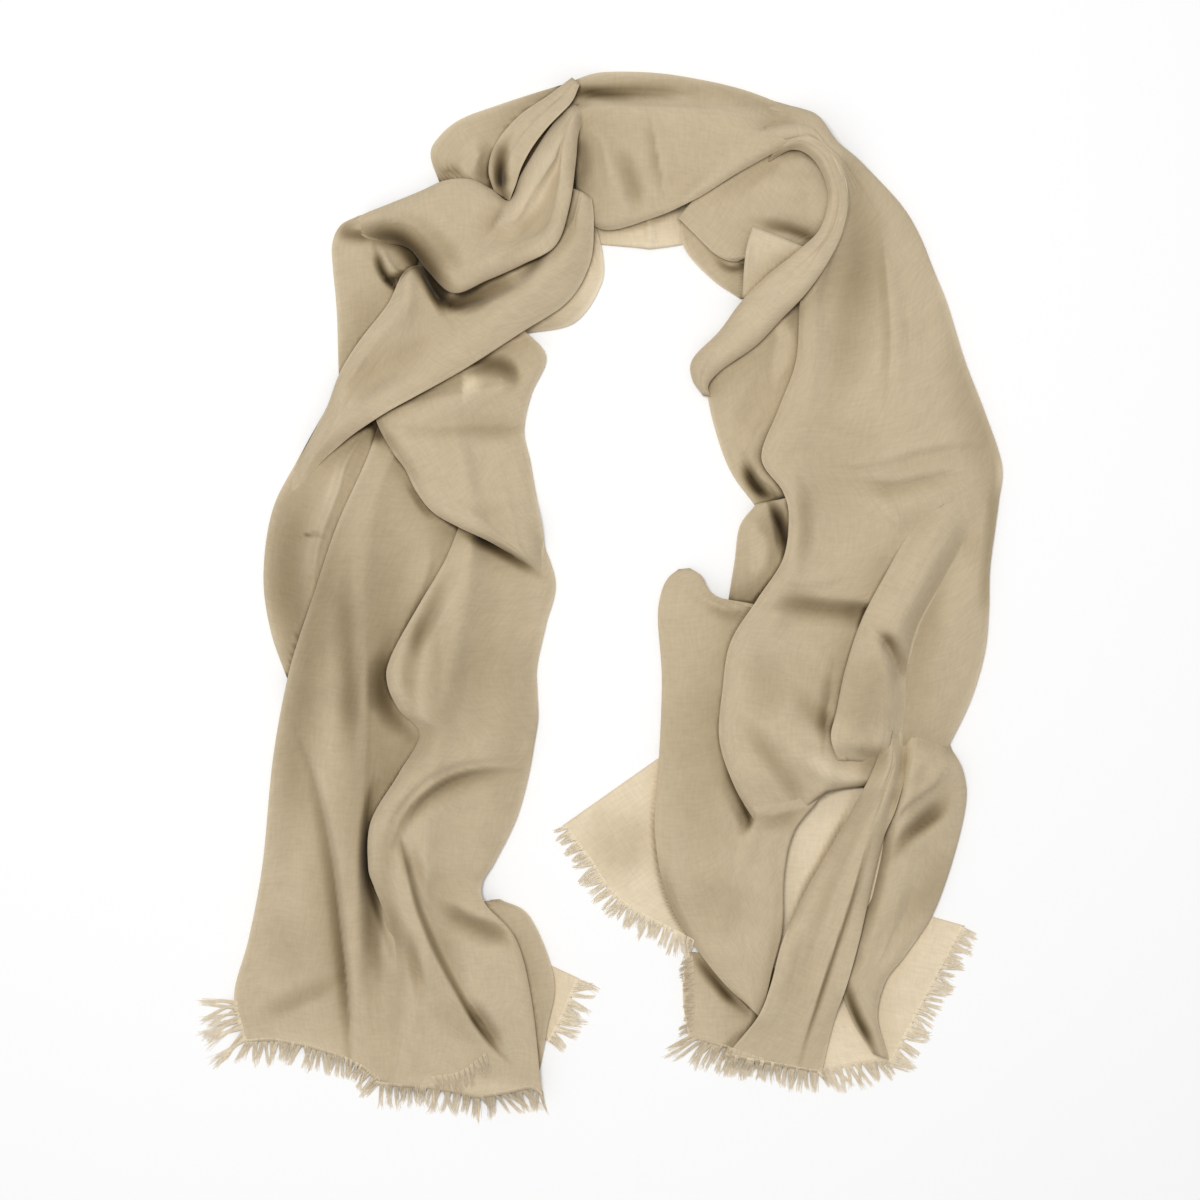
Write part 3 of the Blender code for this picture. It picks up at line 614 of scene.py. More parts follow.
def makeHiddenLayers(name):
    node, table = hiddenTables[name]
    left, right, rise = readSections(table, hiddenLayers["cell"])
    width = np.hypot(*(right - left).T)[:, None]
    share = (1 - np.cos(np.linspace(0, np.pi, hiddenLayers["columns"]))) / 2
    ends = np.linspace(-1, 1, len(left))[:, None]
    acrossPower, alongPower = hiddenLayers["domePowers"]
    dome = (1 - np.abs(2 * share - 1) ** acrossPower) * (1 - hiddenLayers["endDrop"] * np.abs(ends) ** alongPower)
    top = hiddenLayers["least"] + rise * mm * hiddenLayers["heightShare"] * dome
    surface = bmesh.new()
    count = hiddenLayers["slabs"]
    for slab in range(count):
        inset = hiddenLayers["edgeInset"] + slab * hiddenLayers["inset"]
        x, y = between(left, right, inset + (width - 2 * inset) * share, width)
        low, high = top * slab / count + (hiddenLayers["gap"] if slab else 0), top * (slab + 1) / count
        addSlab(surface, x, y, low, high)
        if slab == 0:
            layOnPile(x, y, top)
    bmesh.ops.recalc_face_normals(surface, faces=surface.faces[:])
    uvLayer = surface.loops.layers.uv.new("cloth")
    openLayer = surface.verts.layers.float.new("open")
    for vert in surface.verts:
        vert[openLayer] = hiddenLayers["open"]
    for face in surface.faces:
        for loop in face.loops:
            loop[uvLayer].uv = loop.vert.co.xy
    piece = addObject(name, closeMesh(surface, name, wool))
    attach(piece, "root")
    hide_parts(node)


for name in hiddenTables:
    makeHiddenLayers(name)
print("hidden layers made")


# the stretches, in the order they lie
# sections: left edge x y, right edge x y, rise in mm
# creases: points of x, y and height in mm, then the reach in mm to the left and the right of the way they run
# tones: the same with the share of single cloth in place of the height; below zero it is painted shade, and some
# lines are painted light
# painted shade and light: the same with how dark the deepest hollows are painted, from 0 to 1, and below zero how
# much lighter a spot is painted
# fades: a side, rows of its share and how far the edge still shows, and the reach in mm
# hem: rows of the share across and how far the cut end runs out there, in mm

# painted shade under the knot and under the upper left leg
paintedShadeUnderKnot = [
    (34.6, 23.4, 0.3), (37.4, 23.9, 0.6), (40.0, 24.5, 0.85), (42.0, 27.0, 0.95), (44.0, 30.0, 0.95),
    (45.6, 30.5, 0.9), (47.6, 29.9, 0.35), (49.4, 29.0, 0.05),
]
paintedShadeUnderUpper = [(45.4, 52.6, 0.6), (47.4, 53.7, 0.95), (50.6, 55.4, 0.9), (53.2, 56.9, 0.5), (54.8, 58.1, 0.1)]

stretches = [
    {"name": "archBack", "node": "arch_back", "over": "archLayers", "single": 0.95, "crown": 1,
     "shadeShare": 0.4,
     "sections": [
         (59, 19, 59.6, 24.3, 1), (64, 19, 64.2, 24.7, 1), (64.9, 19, 65, 24.8, 1), (68.5, 18.5, 68.4, 24.3, 1),
         (72, 18, 70.5, 23.5, 1),
     ],
     "creases": [([(64.8, 21, 2), (64.8, 23, 3), (64.9, 25, 3)], 7, 2.5)],
     "paintedShading": [([(60, 23.3, 0.3), (64.5, 22.3, 0.4), (68.2, 20.9, 0.4)], 5, 5)]},
    {"name": "leftBackCorner", "node": "left_back_corner", "over": "leftLegLayers", "single": 0.85, "crown": 0,
     "shadeShare": 0.35,
     "sections": [(50.5, 94.5, 57.9, 98, 0), (50, 98.5, 56.6, 101.2, 0), (50.5, 102, 55, 104.4, 0)]},
    {"name": "rightFrontCorner", "node": "right_front_corner", "over": "rightLegLayers", "single": 0.9,
     "crown": 0, "shadeShare": 0.35,
     "sections": [
         (56.3, 82.6, 66.1, 75.7, 0), (58.6, 85.8, 69.5, 79, 0), (62.2, 90.4, 71.5, 85, 0),
         (69.8, 94.6, 74, 90.5, 0),
     ],
     "creases": [([(60, 81, 0), (63.5, 85, 2), (66, 90, 0)], 16, 16)],
     "paintedShading": [
         ([(57.6, 84.2, 0.1), (61.6, 84.4, 0.24), (65.4, 85.6, 0.3)], 36, 36),
         ([(65.7, 77, 0.3), (65.4, 82, 0.4), (66.2, 88.5, 0.5), (68, 92.6, 0.6), (70.4, 96, 0.5)], 2, 4),
     ]},
    {"name": "rightOuterCorner", "node": "right_outer_corner", "over": "rightLegLayers", "single": 0.9,
     "crown": 0, "shadeShare": 0.35,
     "sections": [
         (87, 90, 96.6, 92.7, 0), (86, 95, 94.8, 96, 0), (85.5, 100, 92.5, 100.4, 0), (86.2, 104, 90.4, 104.4, 0),
         (87.4, 106.3, 89, 106.8, 0),
     ],
     "creases": [([(94.5, 92.5, 0), (91.5, 97, 1.5), (89.3, 103, 0)], 14, 14)]},
    {"name": "rightUnder", "node": "right_under", "over": "rightLegLayers", "single": 1, "crown": 0,
     "shadeShare": 0.25,
     "sections": [
         (75, 78.5, 90, 78, 1), (74.5, 88, 90, 88, 1), (75.5, 96.5, 87.6, 96.5, 1), (78.6, 102, 87, 102, 1),
         (81.6, 107.4, 88.8, 106.2, 0),
     ],
     "paintedShading": [([(85.6, 79, 0.3), (84, 82.8, 0.5), (82.2, 86, 0.5), (80.4, 89.4, 0.5),
                   (78.8, 93.6, 0.4)], 4, 5)]},
    {"name": "innerBack", "node": "inner_back", "over": "leftTopLayers", "single": 0.25, "folded": "right",
     "roll": (12, 20), "shadeShare": 0.6,
     "sections": [
         (55, 20.5, 58.8, 20, 1), (55.5, 24, 60.2, 25, 3), (54.5, 27, 60.1, 28.4, 4), (52.5, 29.5, 57.4, 32.2, 4),
         (49.5, 32, 52.4, 33.3, 3),
     ],
     "tones": [([(59.8, 23, 0.5), (59.6, 28, 0.8), (56.5, 31.6, 0.5)], 20, 20)]},
    {"name": "rightHemTurn", "node": "right_hem_turn", "over": "rightLegLayers", "single": 0.15,
     "folded": "left", "roll": (8, 8), "crown": 1,
     "sections": [
         (68.6, 95.3, 76.5, 95.5, 1), (68.3, 98.5, 78, 98, 1), (68.4, 101, 78.5, 101.5, 1),
         (68.9, 103.8, 76.5, 106.2, 0),
     ],
     "creases": [([(72.6, 103.2, 0), (74.8, 101.9, 4), (76, 99.5, 3)], 5, 12)],
     "paintedShading": [
         ([(69, 94.8, 0.4), (70.8, 97.2, 0.8), (72.8, 99.6, 0.95), (74.6, 101.2, 0.8)], 6, 7),
         ([(74.9, 102.6, 0.1), (72.9, 104.4, 0.35), (71.6, 105.8, 0.2)], 8, 3),
     ]},
    {"name": "rightInner", "node": "right_inner", "over": "rightLegLayers", "folded": "left", "roll": (17, 10),
     "shadeShare": 0.75,
     "sections": [
         (70.8, 35.5, 81.5, 28.5, 3), (70.9, 40.2, 81, 37, 4), (72.8, 46.5, 80, 44, 4), (75.6, 50.6, 80.5, 49, 3),
     ],
     "creases": [
         ([(79.6, 33, 0), (77, 37.5, -2), (75, 41.5, -3), (73.6, 45, -1)], 14, 12),
         ([(76.6, 41.5, 2), (75.4, 44, 4), (74.8, 46, 5), (76, 47.6, 5), (77.6, 49, 4), (78.6, 52, 2)], 10, 4),
         ([(74.8, 46.8, -4), (75.6, 48.4, -8), (76.6, 49.6, -6)], 5, 6),
     ],
     "paintedShading": [
         ([(77.4, 31, -0.3), (78.5, 34, -0.5), (77.4, 38.4, -0.3)], 8, 8),
         ([(74.4, 45.4, 0.3), (75, 47.6, 0.9), (76.3, 49.3, 0.95), (77.8, 49.8, 0.7)], 7, 7),
     ]},
    {"name": "rightInnerGather", "node": "right_inner_gather", "over": "rightLegLayers", "folded": "left",
     "roll": (10, 8),
     "sections": [
         (75.6, 50.4, 80.5, 49.5, 3), (74, 52.6, 80.5, 53, 4), (73.5, 56, 79.5, 56.5, 4), (72.8, 60.4, 77, 60.8, 3),
     ],
     "creases": [
         ([(76.8, 50, -4), (77.8, 52.5, -7), (78.2, 55.5, -4)], 7, 5),
         ([(75, 52, 0), (75.6, 55, 2), (77, 57.6, 1)], 8, 8),
     ],
     "paintedShading": [
         ([(75.4, 52.6, -0.3), (76, 55, -0.4), (75.4, 58, -0.3)], 8, 8),
         ([(76.4, 49.6, 0.6), (77.6, 51.6, 0.95), (78.4, 54, 0.9), (78.2, 56.6, 0.4), (77, 58.6, 0.2)], 8, 4.5),
         ([(75.2, 51.4, 0.1), (76.8, 53.4, 0.15), (77.2, 57, 0.1)], 10, 10),
     ]},
    {"name": "innerFlap", "node": "inner_flap", "over": "archLayers", "single": 0.1, "folded": "left",
     "roll": (14, 8), "shadeShare": 0.65,
     "sections": [
         (68, 21.8, 72.5, 18.5, 1), (68.5, 24.8, 76, 22.5, 2), (71.2, 27.8, 78, 26, 3), (74.1, 29.8, 79.5, 28.5, 3),
     ],
     "paintedShading": [([(71, 25.2, 0.2), (72.8, 26.7, 0.6), (74.4, 26.4, 0.7), (75.2, 24.6, 0.5)], 3, 6)]},
    {"name": "innerTurn", "node": "inner_turn", "over": "archLayers", "folded": "left end", "roll": (9, 8),
     "endRoll": 6, "crown": 1, "shadeShare": 0.4,
     "sections": [
         (67.8, 21.8, 73.5, 15.4, 3), (69.4, 23.4, 78.5, 13.4, 4), (71.6, 25.5, 83.2, 15.5, 5),
         (73.6, 26.2, 83.8, 20.5, 5), (74.8, 25.4, 81, 25, 4),
     ],
     "creases": [
         ([(70.5, 20.6, -1), (74, 18.6, -2), (77.5, 16, -3), (79.3, 14.9, -3)], 7, 9),
         ([(76, 23.2, 0), (78.8, 22.8, -2), (81.4, 23.6, -2), (83, 25, -1)], 10, 6),
         ([(74, 21.5, 1), (78, 19, 4), (81, 18.6, 4)], 18, 18),
         ([(70.4, 24.4, 1), (72.4, 25.8, 2), (74.6, 25.6, 2)], 2.5, 3),
     ],
     "paintedShading": [
         ([(78.4, 16.6, -0.4), (81, 17.2, -0.6), (81.9, 19.8, -0.5), (81.2, 22.4, -0.2)], 10, 10),
         ([(77.6, 15.8, 0.3), (79, 14.9, 0.75), (79.9, 15.6, 0.4)], 4, 5),
         ([(75, 22, 0.15), (76.8, 22.6, 0.4), (78.8, 23, 0.7), (80.8, 23.8, 0.8), (82.4, 25, 0.6)], 8, 6),
     ]},
    {"name": "leftLegLowerRoll", "node": "left_leg_lower_roll", "over": "leftLegLayers", "folded": "right",
     "roll": (10, 17),
     "sections": [
         (46, 90.3, 50, 90, 3), (46.5, 92.5, 53, 91.8, 6), (47, 98, 55.4, 98, 7), (48, 103, 54.7, 103, 5),
         (49, 108.4, 53.7, 108.6, 1),
     ]},
    {"name": "leftLoop", "node": "left_loop", "over": "leftLegLayers", "folded": "left", "roll": (26, 10),
     "crown": 2,
     "sections": [
         (33, 40, 38.5, 42, 3), (29.8, 45.7, 38, 46.5, 5), (27.15, 51, 37, 52, 6), (26.25, 57.5, 36, 58.5, 6),
         (26.95, 63, 35, 64, 5), (28.6, 67.8, 34.5, 68.5, 3),
     ],
     "creases": [
         ([(36.6, 43.2, 3), (34.7, 46.2, 4), (33.8, 49.2, 4), (32.2, 53.5, 4), (31.5, 57, 3),
           (31.3, 60.5, 2)], 3, 6),
         ([(31.6, 50, 0), (29.4, 55, -3), (29, 61, -3), (30, 66, -1)], 12, 12),
     ],
     "paintedShading": [
         ([(35.8, 43, 0.2), (37, 42.6, 0.8), (37.6, 43.2, 0.9), (37.2, 45.2, 0.5)], 5, 5),
         ([(30, 53.7, 0.3), (31.2, 53.4, 0.6), (32.6, 53.6, 0.5)], 2.2, 2.2),
         ([(31.6, 46, 0.15), (29.4, 52, 0.28), (28.8, 58, 0.33), (29.8, 65, 0.25)], 20, 24),
     ],
     "tones": [
         ([(34.6, 45.8, 0.3), (33.4, 49, 0.4), (32.4, 52.5, 0.2)], 7, 7),
         # painted shade: a broad darker band toward the painted shade colour
         ([(28, 50, -0.15), (28, 62, -0.2)], 30, 30),
     ]},
    {"name": "leftLegFront", "node": "left_leg_front", "over": "leftLegLayers", "folded": "left",
     "roll": (22, 10),
     "sections": [
         (38.2, 41.5, 45, 41, 2), (36.7, 46, 46.5, 47, 4), (33.8, 52.5, 47, 53, 6), (31.6, 59, 46.5, 59.5, 7),
         (28.9, 67.2, 45, 67, 7), (27.25, 75.5, 43.5, 75, 7), (26.15, 86.5, 42.5, 86, 6), (24.75, 94, 42.5, 94, 5),
         (23.3, 99.6, 41.5, 101, 2), (24.3, 104.3, 40.2, 108.9, 0),
     ],
     "hem": [(0, 0), (0.2, -9), (0.4, -12), (0.6, -11), (0.72, -8), (0.84, 0), (1, 0)],
     "tones": [([(24.4, 103.6, 0.15), (30, 104.6, 0.2), (35, 106.4, 0.2)], 12, 8)],
     "creases": [
         ([(35.8, 55, 0), (34.9, 60, -5), (34.6, 66, -6), (35, 73, -3), (35, 78, 0)], 14, 20),
         ([(36.8, 62, 0), (36.7, 68, 4), (36.4, 78, 4), (35.8, 86, 5), (35.7, 92, 4), (35.8, 106, 3)], 6, 10),
         ([(29.4, 72.4, 0), (31.2, 78, -4), (32.8, 85.2, -6), (33.6, 92, -7), (34.4, 100, -6),
           (34.7, 107, -3)], 7, 26),
         ([(43.2, 53, 0), (42.8, 57, 3), (41, 61, 4), (39.2, 65, 3)], 5, 14),
         ([(39, 65.2, -2), (38.3, 69, -5), (38.9, 71.8, -4)], 9, 14),
         ([(37.8, 78.4, -4), (36.8, 82, -5), (36.9, 87.5, -8), (37.3, 91.2, -7), (37.2, 97, -4),
           (37.5, 105, -2)], 8, 7),
         ([(26, 100.5, 1), (30, 99.4, 2), (33, 98.6, 0)], 10, 10),
     ],
     "paintedShading": [
         ([(25.4, 102.2, 0.1), (28.6, 100.6, 0.22), (31.6, 99.2, 0.26), (33.8, 98, 0.22)], 14, 8),
         ([(36.4, 89, 0.15), (37.2, 94, 0.26), (38.6, 99, 0.12)], 9, 10),
         ([(27.4, 90, 0.05), (28.8, 94.5, 0.14), (29.6, 99, 0.1)], 24, 24),
         ([(35, 56, 0.1), (34.7, 62, 0.3), (34.9, 69, 0.35), (35, 76, 0.15)], 9, 12),
         ([(37.4, 46, 0.15), (37.8, 54, 0.28), (37.6, 62, 0.33), (37.4, 70, 0.3), (36.6, 80, 0.24),
           (36.4, 96, 0.12)], 40, 28),
         ([(35.4, 48, 0.2), (33.4, 55, 0.4), (31.6, 62, 0.42), (30.2, 70, 0.4), (29, 78, 0.3),
           (28, 88, 0.15)], 24, 16),
         ([(36.8, 41.6, 0.6), (37.6, 43, 0.95), (38.6, 44.6, 0.5)], 8, 8),
         ([(39.4, 63, 0.1), (38.4, 66.4, 0.3), (38.3, 69.5, 0.4), (39.6, 72, 0.45), (41.6, 74, 0.4)], 9, 12),
         ([(37.4, 77.4, 0.3), (37, 79.4, 0.6), (36.6, 82.6, 0.4), (36.6, 86.5, 0.7), (37.2, 89.6, 0.75),
           (38.2, 92.4, 0.5), (39.2, 95.6, 0.2)], 6, 5),
         ([(29.6, 72.8, 0.1), (31.4, 78, 0.3), (32.9, 85.2, 0.4), (33.8, 92, 0.55), (34.6, 100, 0.6),
           (34.9, 107, 0.4)], 2.5, 9),
         ([(40.4, 47.6, 0.2), (41.4, 49.4, 0.5), (42.5, 51, 0.5), (44.2, 52.3, 0.15)], 5, 5), (paintedShadeUnderUpper, 3, 6),
     ]},
    {"name": "leftLegSide", "node": "left_leg_side", "over": "leftLegLayers", "folded": "left right",
     "roll": (14, 24),
     "sections": [
         (46.2, 52, 53.2, 51.8, 3), (44.6, 56, 55.5, 57.9, 6), (42, 60.5, 54.6, 62.4, 7),
         (39.2, 65.6, 53.7, 66.5, 8), (38.8, 68.2, 53.7, 69, 8), (40, 71, 53.8, 71.8, 7), (42, 73.4, 53.4, 74.5, 7),
         (39.9, 77.4, 52.8, 77.8, 8), (37.2, 82, 51.6, 82, 8), (36.9, 86.5, 49.5, 86.2, 7),
         (37.5, 88.6, 48.2, 88.4, 6), (38.3, 90.8, 48.6, 90.4, 5), (39, 94.5, 51.6, 93.8, 4),
         (39, 101, 53.2, 100, 3), (37.6, 108.6, 54.2, 109.6, 0),
     ],
     "hem": [(0, 0), (0.3, 0), (0.5, 3), (0.6, 6), (0.75, 1), (0.94, -6), (1, 0)],
     "tones": [([(39.5, 108.2, 0.1), (44, 108.6, 0.3), (50, 109, 0.3), (54, 108.6, 0.2)], 10, 8)],
     "fades": [("left", [(0, 1), (0.31, 1), (0.36, 0.5), (0.4, 0.6), (0.44, 1), (0.66, 1), (0.74, 0), (1, 0)], 20)],
     "creases": [
         ([(46.6, 54.8, 0), (44.4, 59, -3), (42.4, 63.4, -4), (41.8, 66, -1)], 7, 9),
         ([(46.6, 58, 0), (44.6, 63, 3), (44.8, 68, 5), (43.6, 71.5, 3), (42.2, 74, 1)], 14, 8),
         ([(52.4, 75.6, 2), (47.8, 75.7, 4), (44, 76.6, 5), (41.2, 78.6, 5), (39.2, 81.4, 4),
           (38.2, 84.4, 2)], 6, 16),
         ([(52, 77.2, -1), (47.4, 77.5, -4), (44.2, 78.6, -5), (42, 80.6, -4), (40.6, 83, -2)], 14, 4),
         ([(40.4, 84, 1), (41, 87.5, 5), (42, 91.2, 5), (43.6, 95.2, 5), (45.8, 99, 5), (47.6, 102, 6),
           (49.8, 105.2, 2)], 4, 18),
         ([(41, 84.2, -3), (41.8, 87.6, -3), (43.4, 91.6, -1)], 9, 4),
         ([(46.4, 99.4, -1), (48.4, 102.4, -4), (50.2, 105.2, -2)], 10, 2),
         ([(43.4, 90.2, 0), (46.5, 92.2, -6), (50, 93.4, -6), (51.6, 94.6, -2)], 9, 12),
         ([(40.6, 92.5, 0), (41.2, 95, -4), (42, 98.5, -3), (42.6, 102, 0)], 7, 7),
         ([(48.4, 90.4, 2), (51, 91.8, 4), (51.9, 95, 4), (52.6, 98, 3), (53.6, 103.5, 3),
           (53.8, 108, 2)], 3.5, 10),
         ([(47, 60, 0), (50, 66, 2), (49.6, 73, 1)], 22, 22),
     ],
     "paintedShading": [
         ([(40, 83.4, 0.2), (40.6, 85.6, 0.3), (41, 88, 0.15)], 6, 6), (paintedShadeUnderUpper, 6, 7),
         ([(45.4, 56.4, 0.1), (43.4, 60.6, 0.25), (42, 64, 0.3), (41.9, 67, 0.1)], 7, 9),
         ([(52, 76.8, 0.15), (47.6, 77, 0.35), (44.6, 77.9, 0.45), (42.2, 79.6, 0.5), (40.6, 81.6, 0.5),
           (39.4, 84.2, 0.4)], 10, 3.5),
         ([(40.2, 83.8, 0.6), (40.9, 86.6, 0.8), (42, 90.8, 0.6), (44, 95.8, 0.6), (46.2, 99.8, 0.75),
           (47.6, 102.2, 0.8), (49.4, 104.6, 0.6), (51, 106.2, 0.3)], 6, 3.5),
         ([(46.4, 100, 0.1), (48.2, 103, 0.35), (50.2, 105.6, 0.3)], 11, 4),
         ([(47.4, 57, 0.05), (48.4, 65, 0.14), (48, 72, 0.12)], 26, 26),
         ([(40.6, 100, -0.1), (44, 104.6, -0.2), (49, 107.4, -0.15)], 16, 16),
         ([(43.4, 59, 0.1), (43.8, 66, 0.2), (43.6, 72, 0.2), (41.6, 76, 0.15), (39.4, 80, 0.15)], 20, 10),
         ([(42.8, 60, 0.1), (41.4, 64.4, 0.3), (40.9, 67.6, 0.32), (41.4, 71, 0.35)], 10, 7),
         ([(41.4, 79, 0.1), (39.4, 83, 0.2), (38.6, 88, 0.2), (39.6, 93, 0.3), (40.8, 97.5, 0.15)], 9, 10),
         ([(43.4, 90, 0.1), (47.2, 92.2, 0.3), (50.2, 93.6, 0.3), (51.6, 95, 0.1)], 9, 9),
         ([(40.4, 92, 0.1), (41.3, 95.4, 0.25), (42.2, 99.5, 0.1)], 7, 7),
         ([(52.4, 60, 0.1), (52, 68, 0.15), (51.4, 76, 0.15), (49, 84, 0.15)], 16, 22),
     ]},
    {"name": "leftLegUpper", "node": "left_leg_upper", "over": "leftLegLayers", "folded": "left right",
     "roll": (15, 22),
     "sections": [
         (37.4, 40.2, 52.2, 32.8, 2), (37.8, 42.4, 54.6, 35.6, 5), (39.3, 45.2, 53.1, 39.4, 6),
         (40.6, 47, 52.4, 43, 7), (41.7, 49.2, 53, 46, 7), (43.4, 51.3, 53.6, 49.5, 7), (46, 52.8, 54.2, 52.6, 6),
         (49, 54.2, 54.5, 54.8, 4), (51.8, 55.9, 54.8, 57, 2), (53.8, 57.4, 54.7, 58.2, 1),
     ],
     "fades": [
         ("left", [(0, 1), (0.82, 1), (0.94, 0), (1, 0)], 12), ("right", [(0, 1), (0.7, 1), (0.85, 0), (1, 0)], 16),
         ("end", [(0, 0), (1, 0)], 30),
     ],
     "creases": [
         ([(39.8, 42.6, 0), (42, 43.2, -2), (46, 42.8, -3), (50, 42.9, -3.5), (54, 42.6, -4)], 12, 16),
         ([(46.4, 37, -2), (48.6, 36.2, -4), (50.6, 36.6, -5), (51.4, 38.4, -3)], 8, 14),
         ([(41, 40.6, 3), (46, 39.6, 4), (50, 38.8, 4), (53.2, 38.2, 2)], 6, 12),
         ([(46, 47.5, 0), (50, 49.5, 2), (53.5, 53, 0)], 16, 16),
     ],
     "tones": [([(46.3, 37.2, 0.9), (46.4, 38.4, 1.2), (46.3, 39.6, 0.9)], 15, 0.8)],
     "paintedShading": [
         ([(43.6, 44.6, -0.1), (48, 47, -0.2), (51.4, 50.6, -0.1)], 26, 26),
         ([(46.9, 37.2, 0.3), (48.8, 36.4, 0.5), (50.8, 36.8, 0.55), (51.4, 38.2, 0.35), (50.4, 39.4, 0.1)], 7, 12),
         ([(38.4, 42.4, 0.1), (43, 43.1, 0.14), (48, 42.9, 0.2), (54, 42.7, 0.25)], 5, 10),
         ([(37.8, 42.4, 0.6), (38.8, 44, 0.4), (40.4, 46.2, 0.2), (42.6, 49.6, 0.15)], 9, 3),
     ]},
    {"name": "leftShoulder", "node": "left_shoulder", "over": "leftTopLayers", "folded": "left start",
     "roll": (22, 10),
     "sections": [
         (35.7, 21.5, 42, 19.6, 2), (34, 22.4, 42, 22, 3), (33.15, 24.2, 42, 24.4, 3), (33.2, 26.6, 41.6, 27, 4),
         (33.6, 31, 41, 30.5, 4), (33.8, 37.5, 37, 34.5, 2),
     ],
     "creases": [
         ([(38, 24.4, 2), (38.9, 26.4, 5), (40.2, 27.8, 5), (41.2, 27.6, 3)], 4, 3.5),
         ([(37.4, 25, -2), (38.2, 27.2, -5), (39.6, 28.9, -5)], 3, 5),
         ([(35, 25, 0), (36.6, 30, -3), (36, 34, -1)], 12, 14),
     ],
     "paintedShading": [
         ([(38.6, 28.2, 0.8), (39.8, 27.8, 0.9), (40.8, 27.2, 0.8)], 6, 6),
         ([(35.8, 22.2, 0.3), (34.6, 23.2, 0.5), (37.4, 23.6, 0.5)], 9, 9), (paintedShadeUnderKnot, 12, 8),
         ([(37.4, 24.6, 0.5), (38.2, 27, 0.9), (39.4, 28.8, 0.9), (40.4, 29.8, 0.5)], 6, 5),
     ]},
    {"name": "upperLeftLoop", "node": "upper_left_loop", "over": "archLayers", "folded": "left",
     "roll": (26, 10),
     "sections": [
         (58.6, 7.6, 60, 10.5, 2), (54, 9, 57.5, 13, 5), (50, 10.3, 54.5, 16, 6), (46, 11.8, 53, 18, 6),
         (43.8, 13.6, 52, 20, 6), (43, 15.4, 51, 21, 6), (44, 18.4, 49.5, 22.5, 4),
     ],
     "creases": [
         ([(44, 17.4, -1), (45.1, 16.8, -2.5), (46.4, 17.7, -2)], 4, 6),
         ([(47.4, 15.4, 0), (48.6, 15.4, -3), (49, 18.5, -4)], 8, 12),
         ([(52.6, 9.2, 0), (53.6, 9.6, -2), (54.4, 9, 0)], 3, 6),
     ],
     "paintedShading": [
         ([(47.4, 14.4, -0.3), (47, 16.6, -0.4), (47.4, 18, -0.2)], 8, 8),
         ([(43.8, 17.9, 0.2), (45, 17, 0.5), (46.4, 17.6, 0.3)], 3, 5),
         ([(48.8, 15.6, 0.05), (49.1, 17.6, 0.2), (49.4, 19.4, 0.5)], 8, 3),
     ]},
    {"name": "archFront", "node": "arch", "over": "archLayers", "folded": "left right start", "roll": (26, 9),
     "endRoll": 8, "shadeShare": 0.85,
     "sections": [
         (56.6, 8.4, 57.8, 21.5, 3), (60, 7.2, 60.6, 23, 5), (65, 7.1, 65, 21.9, 5), (70, 7.8, 69.5, 20.1, 5),
         (74.6, 8.9, 74, 17.3, 5), (79, 10.6, 78.6, 14.9, 4), (82, 12, 81, 14.8, 2), (84, 14.4, 82.6, 16.4, 1),
     ],
     "fades": [("right", [(0, 1), (0.8, 1), (0.88, 0), (1, 0)], 9)],
     "creases": [
         ([(55.8, 12, 4), (59.6, 10.9, 6), (66, 11, 5), (74, 11.2, 4), (80, 11.7, 3), (82, 11.8, 1)], 5, 20),
         ([(57, 9.8, -5), (60, 9.2, -6), (64, 9, -4), (70, 9.3, -1)], 7, 9),
         ([(57.4, 13.8, -2.5), (57.9, 16.4, -3), (57.8, 19, -2)], 12, 5),
         ([(57.8, 13, 0), (60, 14, 4), (60.8, 17, 4), (61.2, 21, 2)], 9, 6),
         ([(62.6, 15, 0), (63.2, 19, -3), (63.6, 22, -2)], 8, 8),
         ([(65, 11.8, 1), (65.7, 15, 3.2), (66.6, 19.8, 2)], 12, 2),
         ([(70, 14.4, 0), (74, 13.2, 2), (78, 12.6, 0)], 14, 14),
     ],
     "paintedShading": [
         ([(55.6, 8.9, 0.9), (58.4, 9.3, 1), (61, 9.3, 0.8), (65, 9.1, 0.4), (70, 9.2, 0.2)], 7, 8),
         ([(57.6, 13, 0.1), (58.2, 15.4, 0.2), (58, 18.6, 0.12)], 9, 3),
         ([(61.4, 14, 0.05), (62.8, 17, 0.28), (63.6, 19.6, 0.28), (63.8, 21.4, 0.1)], 9, 10),
         ([(64.9, 11.4, 0.1), (65.5, 15, 0.22), (66.3, 19.6, 0.25)], 1.5, 8),
         ([(60, 8.2, 0.05), (70, 8.6, 0.15), (78, 10.6, 0.15), (82, 12.2, 0.1)], 10, 12),
     ]},
    {"name": "squareFlap", "node": "square_flap", "over": "archLayers", "single": 0.35, "folded": "", "crown": 1,
     "shadeShare": 0.6,
     "sections": [(75.2, 22.8, 81.8, 25.4, 4), (74.5, 25.4, 81.5, 27.2, 4), (74.2, 29.8, 79.5, 29.5, 2)],
     "creases": [([(75, 23.4, 3), (74.5, 26, 3), (74.3, 29, 2)], 6, 3)]},
    {"name": "rightLegInner", "node": "right_leg_inner", "over": "rightLegLayers", "folded": "left start",
     "roll": (24, 12), "endRoll": 14, "paintedEdgeLightShare": 0.4, "shadeShare": 0.75,
     "sections": [
         (67.9, 56.9, 69, 56.8, 2), (66.8, 57.8, 70.2, 57.6, 3), (66.1, 59.4, 71.6, 59.6, 5),
         (65.8, 62, 77, 61.4, 6), (66.2, 68, 77, 68, 6), (65.9, 76, 82.4, 75.6, 6), (65.6, 80, 82, 79.4, 6),
